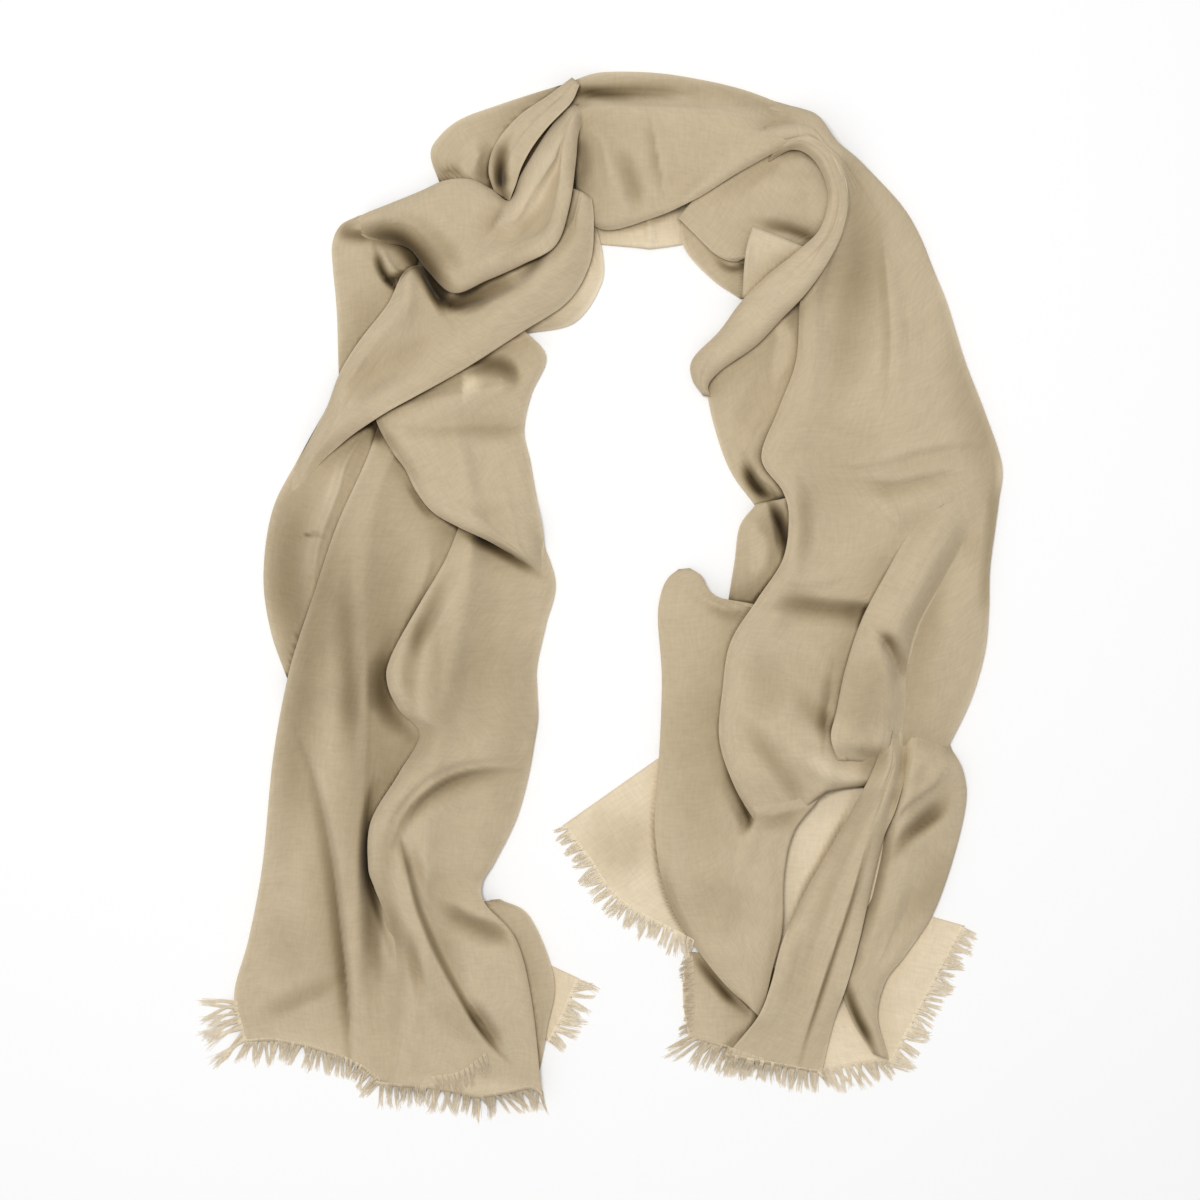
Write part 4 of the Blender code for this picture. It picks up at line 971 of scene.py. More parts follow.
         (65.5, 83.6, 79.4, 83, 6), (66.3, 88.5, 78.4, 87.2, 6), (68, 92.5, 78.2, 93, 5), (70.6, 96.2, 77.2, 97, 4),
         (72.8, 98.8, 76.6, 99.6, 3), (74.6, 100.4, 75.9, 101.6, 1),
     ],
     "creases": [
         ([(68.2, 58.2, 0), (71.2, 60, -2), (75, 61, -3)], 6, 10),
         ([(72.6, 76, -1), (73.8, 79.6, -5), (74.8, 81.8, -9), (74.4, 83, -6), (73.6, 83.4, -1)], 6, 10),
         ([(75.2, 82.2, 3), (74.4, 84.4, 4), (72.4, 87, 2), (70, 89.5, 0)], 16, 8),
         ([(68.4, 88, 0), (72, 90.6, -1.5), (76.4, 90.2, -1.5)], 18, 18),
         ([(76.8, 84, 2), (77, 90, 3), (76.6, 96, 2)], 8, 12),
     ],
     "paintedShading": [
         ([(72, 74.6, 0.1), (73.2, 78.2, 0.5), (74.6, 81, 0.95), (74.9, 82.3, 0.9), (74, 83.3, 0.4)], 4, 6),
         ([(74.4, 81.4, 0.1), (77.4, 81.6, 0.3), (80.2, 80.8, 0.3)], 4, 14),
         ([(68.6, 64, 0.05), (69.4, 76, 0.12), (70.6, 88, 0.12)], 34, 30),
         ([(67.6, 88, 0.05), (71, 90, 0.12), (75.4, 91.4, 0.15)], 30, 30),
         ([(66, 85.5, 0.1), (67, 90.5, 0.35), (68.6, 93.8, 0.4), (70.6, 96, 0.3)], 8, 3),
         ([(76.4, 60.6, 0.2), (73, 61.4, 0.3), (70, 60.2, 0.1)], 8, 5),
     ]},
    {"name": "rightMain", "node": "right_main", "over": "rightLegLayers", "folded": "left right end",
     "roll": (12, 30), "endRoll": 7, "crown": 4,
     "sections": [
         (76, 14.4, 77.2, 9.95, 1), (78, 14.6, 80.2, 10.8, 2), (80.2, 15, 81.9, 11.8, 3),
         (81.2, 15.8, 83.7, 14.3, 4), (82.4, 17.2, 86.3, 16.3, 5), (83.3, 20, 90, 20.1, 6),
         (82.8, 23.2, 92, 23.3, 6), (81.2, 26.8, 93.5, 27, 6), (80, 30, 94.8, 30.2, 6), (79.6, 36, 96.6, 36, 6),
         (77.8, 41, 98.6, 41.2, 6), (76.1, 45.8, 100.3, 46.4, 6), (78.2, 49.2, 100, 50, 6), (78.8, 52, 99.6, 53, 6),
         (78.2, 56, 99.1, 57, 6), (75.6, 60, 99, 61, 6), (73, 64.2, 98.6, 65.2, 6), (72.2, 69, 97.2, 70, 6),
         (71.9, 74, 95, 74.6, 6), (73.4, 78.6, 93.6, 77.6, 4), (75.4, 82, 92, 78.8, 2),
     ],
     "hem": [(0, 0), (0.28, 0), (0.44, -13), (0.62, -12), (0.8, -4), (1, 0)],
     "fades": [
         ("start", [(0, 0), (1, 0)], 50), ("left", [(0, 0), (0.25, 0), (0.29, 1), (1, 1)], 10),
         ("end", [(0, 0), (0.3, 0), (0.42, 1), (1, 1)], 50),
     ],
     "creases": [
         ([(86.6, 23, 0), (88.4, 27, 3), (89.4, 33, 4), (89.8, 40, 2)], 10, 16),
         ([(84.6, 17, -1), (85.8, 22, -2.5), (86, 26.6, -3), (85, 31, -2.5), (83.6, 38, -2), (81, 44, -1)], 24, 18),
         ([(93.4, 27, 0), (94, 34, 2), (95.6, 40, 1)], 14, 12),
         ([(79.6, 45.8, 0), (86, 46.4, 3), (92, 44.8, 5), (97, 44.2, 5), (99.8, 44.8, 3)], 14, 6),
         ([(84.5, 48, -1), (89, 48.8, -4), (94, 47.8, -3), (97.5, 47.6, 0)], 6, 12),
         ([(86.4, 48.5, 0), (88.6, 51.4, 3), (90.6, 53.4, 2)], 10, 5),
         ([(76, 60, 0), (79.6, 60.4, -5), (83.5, 61, -6), (87.4, 61.2, -6), (88.6, 60.4, -3)], 9, 14),
         ([(76, 57, 2), (80, 58, 4), (85, 57.4, 3)], 12, 8),
         ([(76.6, 64.5, 0), (80.4, 65, 4), (83, 67.5, 3)], 14, 14),
         ([(77.6, 67.6, -1), (79.4, 70.2, -2), (82, 72.2, -3), (84, 72.8, -3)], 14, 13),
         ([(73.6, 71.6, 0), (75.6, 74.4, -2), (77.8, 77.2, -2.5), (79.8, 80.2, -1)], 15, 12),
         ([(77.6, 72.6, 2), (80.4, 76, 4), (84, 77.6, 4), (88, 77.8, 2)], 10, 8),
         ([(79, 74, 0), (83, 76.4, 1), (87.4, 78.2, 0.6)], 4, 6),
         ([(99.6, 51.4, -1), (96.8, 53.6, -2.5), (94.8, 56.5, -3), (93, 60.5, -3), (91.6, 64.5, -2.5),
           (91, 68.5, -1)], 24, 14),
         ([(94.6, 62, 0), (93.6, 68, 3), (93.2, 73, 2)], 12, 12),
     ],
     "tones": [([(80, 75, 0.1), (82.6, 76.4, 0.45), (84.8, 77, 0.6), (87.8, 77.2, 0.45)], 10, 14)],
     "paintedShading": [
         ([(83.3, 66, 0.2), (82.5, 71, 0.4), (82.2, 75, 0.35)], 2, 8),
         ([(79.8, 47.4, 0.15), (80.4, 52.6, 0.3), (79.8, 57, 0.2)], 9, 7),
         ([(76.2, 60.6, 0.2), (80, 60.4, 0.28), (84, 60.8, 0.35), (88.2, 60.6, 0.3)], 7, 10),
         ([(84.4, 17, 0.1), (85.8, 21, 0.22), (86, 27, 0.3), (85, 33, 0.22), (83, 42, 0.16)], 24, 18),
         ([(88, 22, 0.05), (88.5, 28, 0.2), (88.8, 34, 0.2), (88.4, 41, 0.1)], 2, 8),
         ([(95, 32, 0.05), (96.4, 38, 0.15), (98.6, 44, 0.2), (98.4, 50, 0.2)], 10, 22),
         ([(96.4, 53, -0.1), (95.6, 58, -0.25), (94.8, 64, -0.15)], 16, 16),
         ([(99.7, 45, 0.2), (99.4, 52, 0.4), (98.9, 58, 0.4), (98.6, 64, 0.2)], 4, 8),
         ([(80.5, 40, 0.05), (83, 46, 0.1), (85, 53, 0.08)], 50, 40),
         ([(75.4, 64, 0.05), (76.6, 68.4, 0.2), (76, 72.4, 0.1)], 18, 18),
         ([(78.8, 68.4, 0.1), (81, 71.2, 0.2), (83.4, 73, 0.3)], 11, 9),
         ([(74, 72, 0.15), (76.4, 75, 0.28), (79.2, 79, 0.25), (79.8, 81.4, 0.1)], 12, 9),
     ]},
    {"name": "rightLegOuter", "node": "right_leg_outer", "over": "rightLegLayers", "folded": "left right start",
     "roll": (12, 24), "endRoll": 16, "shadeShare": 0.8,
     "sections": [
         (90.6, 72.6, 95, 74.4, 3), (89.6, 77, 96.4, 77.2, 5), (88.6, 81, 96.7, 80.4, 6), (87.8, 86, 95.4, 86, 6),
         (86.6, 91, 93.4, 91.4, 5), (85.6, 95.5, 90.6, 95.6, 4), (84.2, 98.4, 88.6, 98.2, 4),
         (85.2, 102, 87.8, 101.8, 3), (87.3, 105.4, 88.9, 105.9, 1),
     ],
     "fades": [("start", [(0, 0), (1, 0)], 26), ("left", [(0, 0), (0.5, 0), (0.64, 1), (1, 1)], 12)],
     "creases": [
         ([(95, 79.2, -2), (93.6, 81, -4), (91.8, 82.8, -4), (89.5, 84.8, -2)], 9, 9),
         ([(95.6, 79.9, 2), (94, 81.8, 5), (91.4, 83.6, 5), (89.2, 85.6, 3)], 16, 3),
         ([(95.2, 76.2, 4), (93.2, 78.2, 6), (90.6, 80.1, 6), (88.7, 82.8, 5), (87.9, 87, 2)], 4, 10),
         ([(90.4, 86.5, 0), (90.8, 90.8, -3), (88.6, 94, -3), (87.4, 98, -1)], 14, 12),
     ],
     "paintedShading": [
         ([(91.4, 72.8, -0.3), (90.6, 77, -0.3), (89.2, 83, -0.35), (88.4, 87, -0.3)], 8, 8),
         ([(95, 79.6, 0.15), (94, 81, 0.4), (92, 82.6, 0.5), (90.2, 84.1, 0.4), (88.4, 86.6, 0.15)], 8, 11),
         ([(92.6, 76.2, 0.1), (90.6, 78.4, 0.2), (89.4, 80.6, 0.2)], 10, 8),
         ([(84.2, 97.2, 0.4), (85.4, 101.2, 0.9), (87.6, 105.4, 0.9)], 7, 4),
         ([(95.4, 84, 0.05), (93.6, 88, 0.2), (91, 93, 0.15)], 14, 18),
     ]},
    {"name": "rightPleat", "node": "right_pleat", "over": "rightLegLayers", "folded": "left right start end",
     "roll": (24, 18), "endRoll": 10, "crown": 4, "paintedEdgeLightShare": 0.4, "shadeShare": 0.7,
     "sections": [
         (94.6, 48.6, 99, 50.6, 1), (91, 53, 97, 54.2, 4), (88.4, 57.4, 94.4, 58.8, 6), (86, 62, 92.2, 62.8, 7),
         (84.4, 66.8, 91.2, 66.6, 8), (83.5, 71, 91, 70.4, 7), (82.9, 73.6, 90.6, 74, 5),
         (83.6, 75.9, 89.4, 76.4, 2),
     ],
     "fades": [
         ("start", [(0, 0), (1, 0)], 55), ("left", [(0, 0), (0.12, 0), (0.34, 1), (1, 1)], 16),
         ("right", [(0, 0), (1, 0)], 26), ("end", [(0, 0.3), (0.3, 0.3), (0.6, 0), (1, 0)], 20),
     ],
     "creases": [
         ([(87.2, 63, -3), (88.4, 64.4, -6), (89.6, 66.8, -5), (90.2, 69.2, -2)], 7, 6),
         ([(86.8, 63.6, 1), (88, 66, 3), (89.4, 68.8, 3), (90.2, 72, 2)], 3, 12),
     ],
     "paintedShading": [
         ([(90, 66.6, -0.2), (90.5, 70.6, -0.5), (90.2, 74.4, -0.4)], 9, 9),
         ([(87.2, 62.8, 0.2), (88.4, 63.9, 0.6), (89.4, 65.6, 0.45), (90.4, 68.4, 0.2)], 9, 3),
         ([(84.8, 74.8, 0.1), (87, 75.2, 0.2), (88.6, 75, 0.1)], 6, 6),
         ([(88, 64.5, 0.1), (86.8, 69, 0.22), (86.2, 74, 0.22)], 22, 24),
     ]},
    {"name": "rightStrap", "node": "right_strap", "over": "rightLegLayers", "folded": "left right start",
     "roll": (15, 15), "endRoll": 8, "paintedEdgeLightShare": 0.4,
     "sections": [
         (88.4, 73, 90.4, 73, 0), (88, 74.6, 90.5, 74.8, 2), (87.2, 76.8, 90.4, 77.2, 5), (85.4, 80.4, 89.4, 81, 7),
         (83.6, 83.8, 88.3, 84, 7), (80.4, 89.4, 87, 89.4, 6), (78.2, 94, 85.8, 94.4, 5), (77, 98.4, 84.6, 98.6, 4),
         (75.6, 101.8, 83.4, 102.4, 2), (72.6, 105.7, 82.2, 107.5, 0),
     ],
     "fades": [
         ("start", [(0, 0), (1, 0)], 32), ("left", [(0, 0), (0.05, 0), (0.17, 1), (1, 1)], 14),
         ("right", [(0, 0), (0.1, 0), (0.25, 0.6), (0.4, 1), (1, 1)], 14),
     ],
     "creases": [
         ([(87.6, 80.6, 1), (86.6, 84, 3), (85.5, 88, 4), (84.1, 92.5, 4), (82.6, 97, 4), (80.8, 102.5, 4),
           (79.7, 107, 3)], 2.5, 14),
         ([(79.6, 91.6, 0), (78.2, 96, 3), (77.2, 100, 2)], 10, 4),
     ],
     "paintedShading": [
         ([(90, 71, -0.2), (89.8, 75, -0.4), (88.6, 80, -0.2)], 8, 8),
         ([(87.6, 81.4, 0.1), (86.4, 85, 0.35), (85, 90, 0.55), (83, 96, 0.65), (81.2, 102, 0.65),
           (79.9, 106.6, 0.5)], 5, 1.5),
         ([(88.4, 76, 0.1), (86, 82, 0.15), (83, 89, 0.15), (80.6, 96, 0.15)], 6, 10),
     ]},
    {"name": "rightRoll", "node": "right_roll", "over": "archLayers", "folded": "left right start end",
     "roll": (12, 12), "endRoll": 8, "crown": 2, "paintedEdgeLightShare": 0.4, "shadeShare": 0.8,
     # painted light: paler along the middle of the roll
     "tones": [([(83.6, 20, 0.05), (80.6, 26.8, 0.1), (76, 31.2, 0.12), (71.6, 35.6, 0.1)], 14, 14)],
     "sections": [
         (76.8, 16.2, 78.6, 13.4, 1), (79.4, 15.1, 81, 13.6, 2), (81.6, 16.7, 83.5, 15.8, 2),
         (82.7, 19.8, 84.7, 19.4, 3), (81.9, 23, 84.2, 23.2, 4), (79.6, 25.3, 82.7, 26.4, 6),
         (76.6, 27.7, 80.6, 29.4, 7), (74, 30.3, 78.2, 31.9, 7), (71.9, 33.1, 75.6, 34.6, 7),
         (69.3, 35.8, 72.3, 36.9, 6), (69.2, 37.8, 70.9, 38.4, 4), (70.3, 39.5, 71, 39.6, 2),
     ],
     "fades": [
         ("start", [(0, 0), (1, 0)], 34), ("left", [(0, 0), (0.05, 0.3), (0.14, 1), (1, 1)], 10),
         ("right", [(0, 0), (0.2, 0), (0.38, 0.5), (0.52, 1), (1, 1)], 15),
     ],
     "paintedShading": [([(83.6, 19.6, -0.1), (80.6, 26.8, -0.2), (76, 31.2, -0.25), (71.6, 35.6, -0.2)], 14, 14)]},
    {"name": "longFold", "node": "long_fold", "over": "leftTopLayers", "folded": "left right end",
     "roll": (16, 16), "endRoll": 10, "crown": 4,
     "sections": [
         (57, 18.8, 59.2, 20, 2), (55.4, 22, 59.4, 22.4, 4), (53.4, 24.2, 59, 26.4, 5), (49.6, 25.8, 56.8, 30.2, 6),
         (45, 26.8, 52.3, 33.2, 7), (41, 26.9, 46.4, 37, 7), (38.8, 30.6, 41.6, 39.8, 7),
         (35.9, 34.2, 38.8, 41.4, 7), (33.9, 37.4, 35.8, 43.2, 6), (32.6, 40.8, 34, 44.6, 5),
         (30.4, 45, 32, 46.4, 3), (28.6, 48.6, 30, 49, 1), (27.4, 51.6, 28.6, 52, 0),
     ],
     "fades": [
         ("right", [(0, 1), (0.76, 1), (0.88, 0.2), (1, 0)], 14),
         ("left", [(0, 1), (0.8, 1), (0.9, 0), (1, 0)], 14), ("end", [(0, 0), (1, 0)], 45),
     ],
     "creases": [
         ([(55.6, 24, -2), (52, 27.6, -4), (49, 29.2, -7), (46.4, 30.2, -11), (44.6, 31.2, -6)], 8, 12),
         ([(42.4, 26.9, -6), (43.6, 29.2, -9), (45, 30.6, -9)], 10, 3),
         ([(57.9, 21, 2), (57.6, 24.6, 4), (54, 28.4, 4), (48.6, 32.4, 4), (43.6, 35.4, 3), (39, 38.4, 2)], 13, 11),
         ([(40.9, 26.9, 6), (40.8, 29, 5), (40.6, 32, 2)], 8, 6),
         ([(43.6, 33.8, 0), (41, 35.2, -1.2), (38.4, 35.6, -1)], 10, 10),
         ([(39.6, 36.4, 0), (36, 39.6, 2), (32.6, 44.6, 1)], 12, 8),
     ],
     "paintedShading": [
         ([(38.9, 29.2, 0.7), (40.2, 27.6, 0.9), (41.4, 26.8, 0.6)], 4, 5),
         ([(53.4, 24.6, -0.2), (51.8, 27.4, -0.8), (50.2, 28.4, -0.5)], 9, 8), (paintedShadeUnderKnot, 12, 7),
         ([(42.3, 27.6, 0.3), (43.6, 30.4, 0.4), (44.8, 32.4, 0.15)], 6, 3),
         ([(44.8, 31.4, 0.2), (47.4, 31, 0.4), (49.6, 29.9, 0.1)], 7, 5),
         ([(55.4, 23.4, 0.15), (52.8, 27, 0.3), (50.4, 28.6, 0.1)], 6, 5),
         ([(56, 19.6, 0.1), (56.4, 22.4, 0.35), (54.6, 25.4, 0.35)], 3, 8),
     ]},
    {"name": "knotCloth", "node": "knot", "over": "leftTopLayers", "folded": "left right start end",
     "roll": (20, 17), "endRoll": 12, "crown": 5, "paintedEdgeLightShare": 0.25, "shadeShare": 0.8,
     # painted light: paler along the strand, where the roll beside it shades it
     "tones": [([(56.4, 13.6, 0.15), (55, 16.8, 0.3), (53.2, 20.2, 0.3), (51, 23.6, 0.15)], 15, 15)],
     "sections": [
         (35, 22.2, 35.2, 23.8, 0), (36.4, 21.3, 36.8, 24.2, 1), (38.6, 20.5, 38.8, 24.4, 4), (42, 19.1, 41, 25, 7),
         (44.4, 18.1, 42.8, 27.2, 8), (47, 18, 45.4, 29.5, 8), (49.2, 19, 48.8, 28.2, 8),
         (50.9, 20.1, 52.4, 26.6, 8), (52, 17.8, 55.6, 24.8, 7), (53.2, 15.8, 57, 20.8, 7),
         (54.6, 13.6, 57.6, 16.4, 6), (56, 11.8, 57.9, 13.6, 4), (57.6, 10.2, 58.8, 11.6, 2),
     ],
     "fades": [
         ("start", [(0, 0), (1, 0)], 38), ("right", [(0, 0), (0.08, 0), (0.2, 1), (0.93, 1), (0.97, 0), (1, 0)], 9),
         ("end", [(0, 0), (1, 0)], 14),
     ],
     "creases": [
         ([(52, 18.6, 0), (51, 20.8, 2.5), (50.1, 22.4, 4), (48.9, 24.2, 1.5)], 16, 6),
         ([(50.4, 20.4, -1.5), (49.2, 22.4, -2.5), (47.8, 24, -1)], 6, 12),
         ([(37.6, 21.8, 0), (41, 22.6, -2), (44.6, 25.2, -3), (46.4, 28, -2)], 10, 14),
         ([(53.8, 22.6, 0), (50.6, 25, 2), (47, 27, 1)], 12, 10),
         ([(56.6, 14.2, 1), (55.4, 17, 4), (53.6, 20.4, 4), (51, 23.4, 1)], 16, 16),
     ],
     "paintedShading": [
         ([(57, 11.4, -0.6), (54.8, 13.8, -1), (53, 15.8, -1), (52, 18, -0.6)], 9, 9),
         ([(50.7, 20.4, 0.25), (49.7, 22.2, 0.25), (48.5, 23.8, 0.1)], 3, 7),
         ([(34, 23.3, 0.3), (36.9, 23.5, 0.7), (39.8, 24, 0.95), (41.9, 25.7, 0.95), (43.4, 27.6, 0.85),
           (45, 29.2, 0.6), (46.6, 29.8, 0.2)], 14, 8),
         ([(38.6, 21.8, 0.1), (41.6, 22.6, 0.15), (44.6, 25.4, 0.2), (46.4, 28, 0.2)], 12, 10),
         ([(57.2, 11.2, -0.4), (55.2, 14.6, -0.8), (53.2, 18.6, -0.8), (51, 23, -0.2)], 16, 16),
         ([(55.8, 20.6, 0.05), (54.4, 23.4, 0.15), (50, 26.2, 0.15)], 6, 6),
     ]},
    {"name": "upperLeftRoll", "node": "upper_left_roll", "over": "archLayers", "folded": "left right start",
     "roll": (14, 14), "endRoll": 6, "crown": 2, "paintedEdgeLightShare": 0.4, "shadeShare": 0.75,
     "sections": [
         (57.2, 7.9, 58, 8.7, 1), (54.8, 9.7, 57, 10.9, 3), (52.2, 11.5, 54.8, 13.1, 4), (50.3, 13.5, 53.3, 15, 4),
         (49.2, 15.4, 52.2, 17, 4), (48.9, 17.4, 51.6, 18.8, 4), (49.4, 19.2, 51, 20.2, 2),
     ],
     "fades": [("end", [(0, 0.2), (1, 0.2)], 8)],
     "creases": [([(50.2, 15.8, 0), (49.9, 17, -4), (50, 18.4, -7), (50.3, 19.6, -5)], 6, 5)],
     "paintedShading": [
         ([(57, 9.4, -0.2), (54.4, 12, -0.3), (52.2, 14.6, -0.3), (51.2, 17.6, -0.2)], 9, 9),
         ([(51.2, 13.8, 0.3), (50.3, 15.4, 0.7), (50.1, 17.2, 1), (50.3, 19, 1), (50.6, 20, 0.6)], 8, 8),
     ]},
]


for number, spec in enumerate(stretches):
    makeStretch(spec, number)
byName = {spec["name"]: spec for spec in stretches}
print("cloth laid:", len(stretches), "stretches")


# painted shade: how open each spot is to the light, from the height of the cloth all round it, multiplied into the
# cloth's colour

foldLight = {
    "depth": 1.75,
    "spared": 0.6 * mm,
    "ways": 16,
    "reaches": (3, 4, 6, 9, 13, 18, 24, 31),  # in cells of the pile
    "ownSlope": 0.65,
    "slopeLimit": 1.6,
    "slopeCells": 3,
    "smooth": 4,
    "buriedFrom": 2 * mm,        # cloth this far below the top of the pile starts to darken
    "buriedOver": 7 * mm,
    "buried": 0.2,
    "paintedShadingShare": 0.9,
    "paintedShadingRange": (0.12, 2.4),
    "kept": (0.05, 1.5),
    "turnColumns": 8,            # of a folded side, shaded like the column beside them
    # painted highlight on the columns where the cloth rolls over an edge
    "napMottleAndPaintedEdgeLight": ([0, 5, 6, 7, 8, 9], [0.42, 0.42, 0.36, 0.22, 0.1, 0]),
}


def shifted(z, across, along):
    return np.roll(z, (-across, -along), (0, 1))


def openness():
    # over the whole raster
    z = blur(pile["height"], 2)
    cells, limit = foldLight["slopeCells"], foldLight["slopeLimit"]
    span = 2 * cells * pile["cell"]
    slopeX = np.clip((shifted(z, cells, 0) - shifted(z, -cells, 0)) / span, -limit, limit)
    slopeY = np.clip((shifted(z, 0, cells) - shifted(z, 0, -cells)) / span, -limit, limit)
    total = np.zeros_like(z)
    for turn in range(foldLight["ways"]):
        angle = 2 * math.pi * (turn + 0.5) / foldLight["ways"]
        own = foldLight["ownSlope"] * (slopeX * math.cos(angle) + slopeY * math.sin(angle))
        steepest = np.zeros_like(z)
        for reach in foldLight["reaches"]:
            across, along = round(reach * math.cos(angle)), round(reach * math.sin(angle))
            away = math.hypot(across, along) * pile["cell"]
            rise = (shifted(z, across, along) - z - foldLight["spared"]) / away - np.maximum(own, 0)
            steepest = np.maximum(steepest, rise * foldLight["depth"])
        total += 1 / (1 + steepest ** 2)
    return blur(total / foldLight["ways"], foldLight["smooth"])


def shadeStretch(spec, openRaster):
    x, y, z = spec["grid"]
    deep = pileSmooth(x, y) - z - foldLight["buriedFrom"]
    found = readBetween(openRaster, x, y) * np.clip(1 - deep / foldLight["buriedOver"], foldLight["buried"], 1)
    found = 1 - (1 - found) * spec.get("shadeShare", 1.0)
    # painted shade in hollows, and painted light where a line is below zero
    paintedShading = softLines(x, y, spec.get("paintedShading", []))
    found = np.minimum(found * np.clip(1 - foldLight["paintedShadingShare"] * paintedShading, *foldLight["paintedShadingRange"]), 1)
    # painted highlight where the cloth rolls over an edge
    napMottleAndPaintedEdgeLight = np.interp(np.arange(found.shape[1]), *foldLight["napMottleAndPaintedEdgeLight"]) * spec["shown"] ** 3 * spec.get("paintedEdgeLightShare", 1.0)
    turned = foldLight["turnColumns"]
    if "left" in spec.get("folded", ""):
        found[:, :turned] = found[:, turned:turned + 1]
        found = found * (1 + napMottleAndPaintedEdgeLight)
    if "right" in spec.get("folded", ""):
        found[:, -turned:] = found[:, -turned - 1:-turned]
        found = found * (1 + napMottleAndPaintedEdgeLight[:, ::-1])
    found = np.clip(found, *foldLight["kept"])
    spec["piece"].data.attributes["open"].data.foreach_set("value", [found[at] for at in spec["spots"]])


openRaster = openness()
for spec in stretches:
    shadeStretch(spec, openRaster)
print("fold shade laid")


# fringes: loose tufts of yarn along the cut edges
# hems: a stretch, its side, and the share of it that the fringe starts and ends at
# rows: share along the hem, length in mm and lean in degrees
# onTop: points of a second edge whose fringe lies on the cloth, its length in mm, and the way it points

fringes = [
    {"name": "fringeLeftSide", "node": "fringe_left_side", "tone": (0.5, 1.0), "dense": 1.7,
     "hems": [("leftLegFront", "left", 0.915, 1.0)], "rows": [(0, 30, -5), (0.5, 37, 5), (1, 36, 28)]},
    {"name": "fringeLeftHem", "node": "fringe_left_hem", "tone": (0.5, 1.0),
     "hems": [("leftLegFront", "end", 0, 0.84), ("leftLegSide", "end", 0, 1)],
     "rows": [(0, 30, -42), (0.06, 24, -10), (0.3, 19, 20), (0.6, 20, 0), (0.96, 22, 20), (1, 19, 40)],
     "onTop": [([(43.4, 108.0), (46.2, 107.4), (49.0, 105.2)], 17, (0.35, -1.0))]},
    {"name": "fringeLeftBack", "node": "fringe_left_back", "tone": (0.9, 1.0),
     "hems": [("leftBackCorner", "right", 0, 1)], "rows": [(0, 19, 18), (0.3, 20, -10), (1, 18, 10)]},
    {"name": "fringeRightFront", "node": "fringe_right_front", "tone": (0.9, 1.0),
     "hems": [("rightFrontCorner", "left", 0, 0.98)], "rows": [(0, 14, -10), (0.5, 19, 5), (1, 19, 15)]},
    {"name": "fringeRightTurn", "node": "fringe_right_turn", "tone": (0.2, 0.8), "dense": 1.4,
     "hems": [("rightHemTurn", "end", 0, 1)], "rows": [(0, 30, -50), (0.3, 24, -15), (1, 19, 10)],
     "onTop": [([(69.0, 96.0), (69.2, 99.4), (69.0, 103.6)], 11, (-1.0, -0.35))]},
    {"name": "fringeRightHem", "node": "fringe_right_hem", "tone": (0.6, 1.0),
     "hems": [("rightStrap", "end", 0, 1), ("rightUnder", "end", 0.06, 1)],
     "rows": [(0, 18, 5), (0.6, 21, 15), (1, 21, 25)]},
    {"name": "fringeRightOuter", "node": "fringe_right_outer", "tone": (0.9, 1.0),
     "hems": [("rightOuterCorner", "right", 0, 1)], "rows": [(0, 16, 0), (0.5, 19, 10), (1, 20, 0)]},
]
# a pair is a range to draw from, or a middle and its spread where noted
yarn = {
    "seed": 40,
    "tuftEvery": 4.4 * mm,
    "perTuft": 15,
    "thick": 0.23 * mm,
    "rootBack": 3.0 * mm,
    "points": 5,
    "longer": 1.12,
    "tucked": 4,                # columns under a folded side
    "hemSpots": 200,
    "aheadBy": 4 * mm,          # the way of the hem is read this far to both sides
    "onTopCell": 0.6,           # in steps of the plan grid
    "step": (-0.25, 0.25),      # how far a tuft strays along the hem, in spacings
    "lean": (0, 8),             # middle and spread, in degrees
    "reach": (0.68, 1.06),
    "reachOnTop": (0.55, 1.05),
    "curl": (0, 0.16),          # middle and spread, of a tuft and of a strand
    "bow": (0, 0.05),
    "gather": (-0.1, 0.42),
    "gatherPower": 1.4,
    "wide": (0.7, 1.12),
    "strandPlace": (0.9, 1.0),
    "strandReach": (0.74, 1.0),
    "lie": 0.4 * mm,            # above what the strand lies on
    "lieAtRoot": 0.1 * mm,
    "lieOnTop": 0.6 * mm,
    "fallPower": 2.2,
    "loose": (0, 0.8),          # mm that a strand stands up by
    "radius": (1.15, 0.7),      # at the root, and what is gone at the tip
    "paleFrom": 16 * mm,        # from the root on, a strand has its full tone
    "doubledWithin": 26 * mm,   # doubled cloth shows through the fringe this near a second edge
    "doubledAbove": 4 * mm,
    "doubledTone": 0.5,
}


def hemLine(name, side, first, last):
    # the columns tucked under a folded side would run back, so they are left out
    grid, folded = byName[name]["grid"], byName[name].get("folded", "")
    if side == "end":
        keep = slice(yarn["tucked"] if "left" in folded else 0, -yarn["tucked"] if "right" in folded else None)
        line = np.column_stack([axis[-1, keep] for axis in grid])
    else:
        column = yarn["tucked"] if side in folded else 0
        line = np.column_stack([axis[:, column if side == "left" else -1 - column] for axis in grid])
    wanted = np.linspace(first, last, yarn["hemSpots"])
    return np.column_stack([np.interp(wanted, np.linspace(0, 1, len(line)), axis) for axis in line.T])


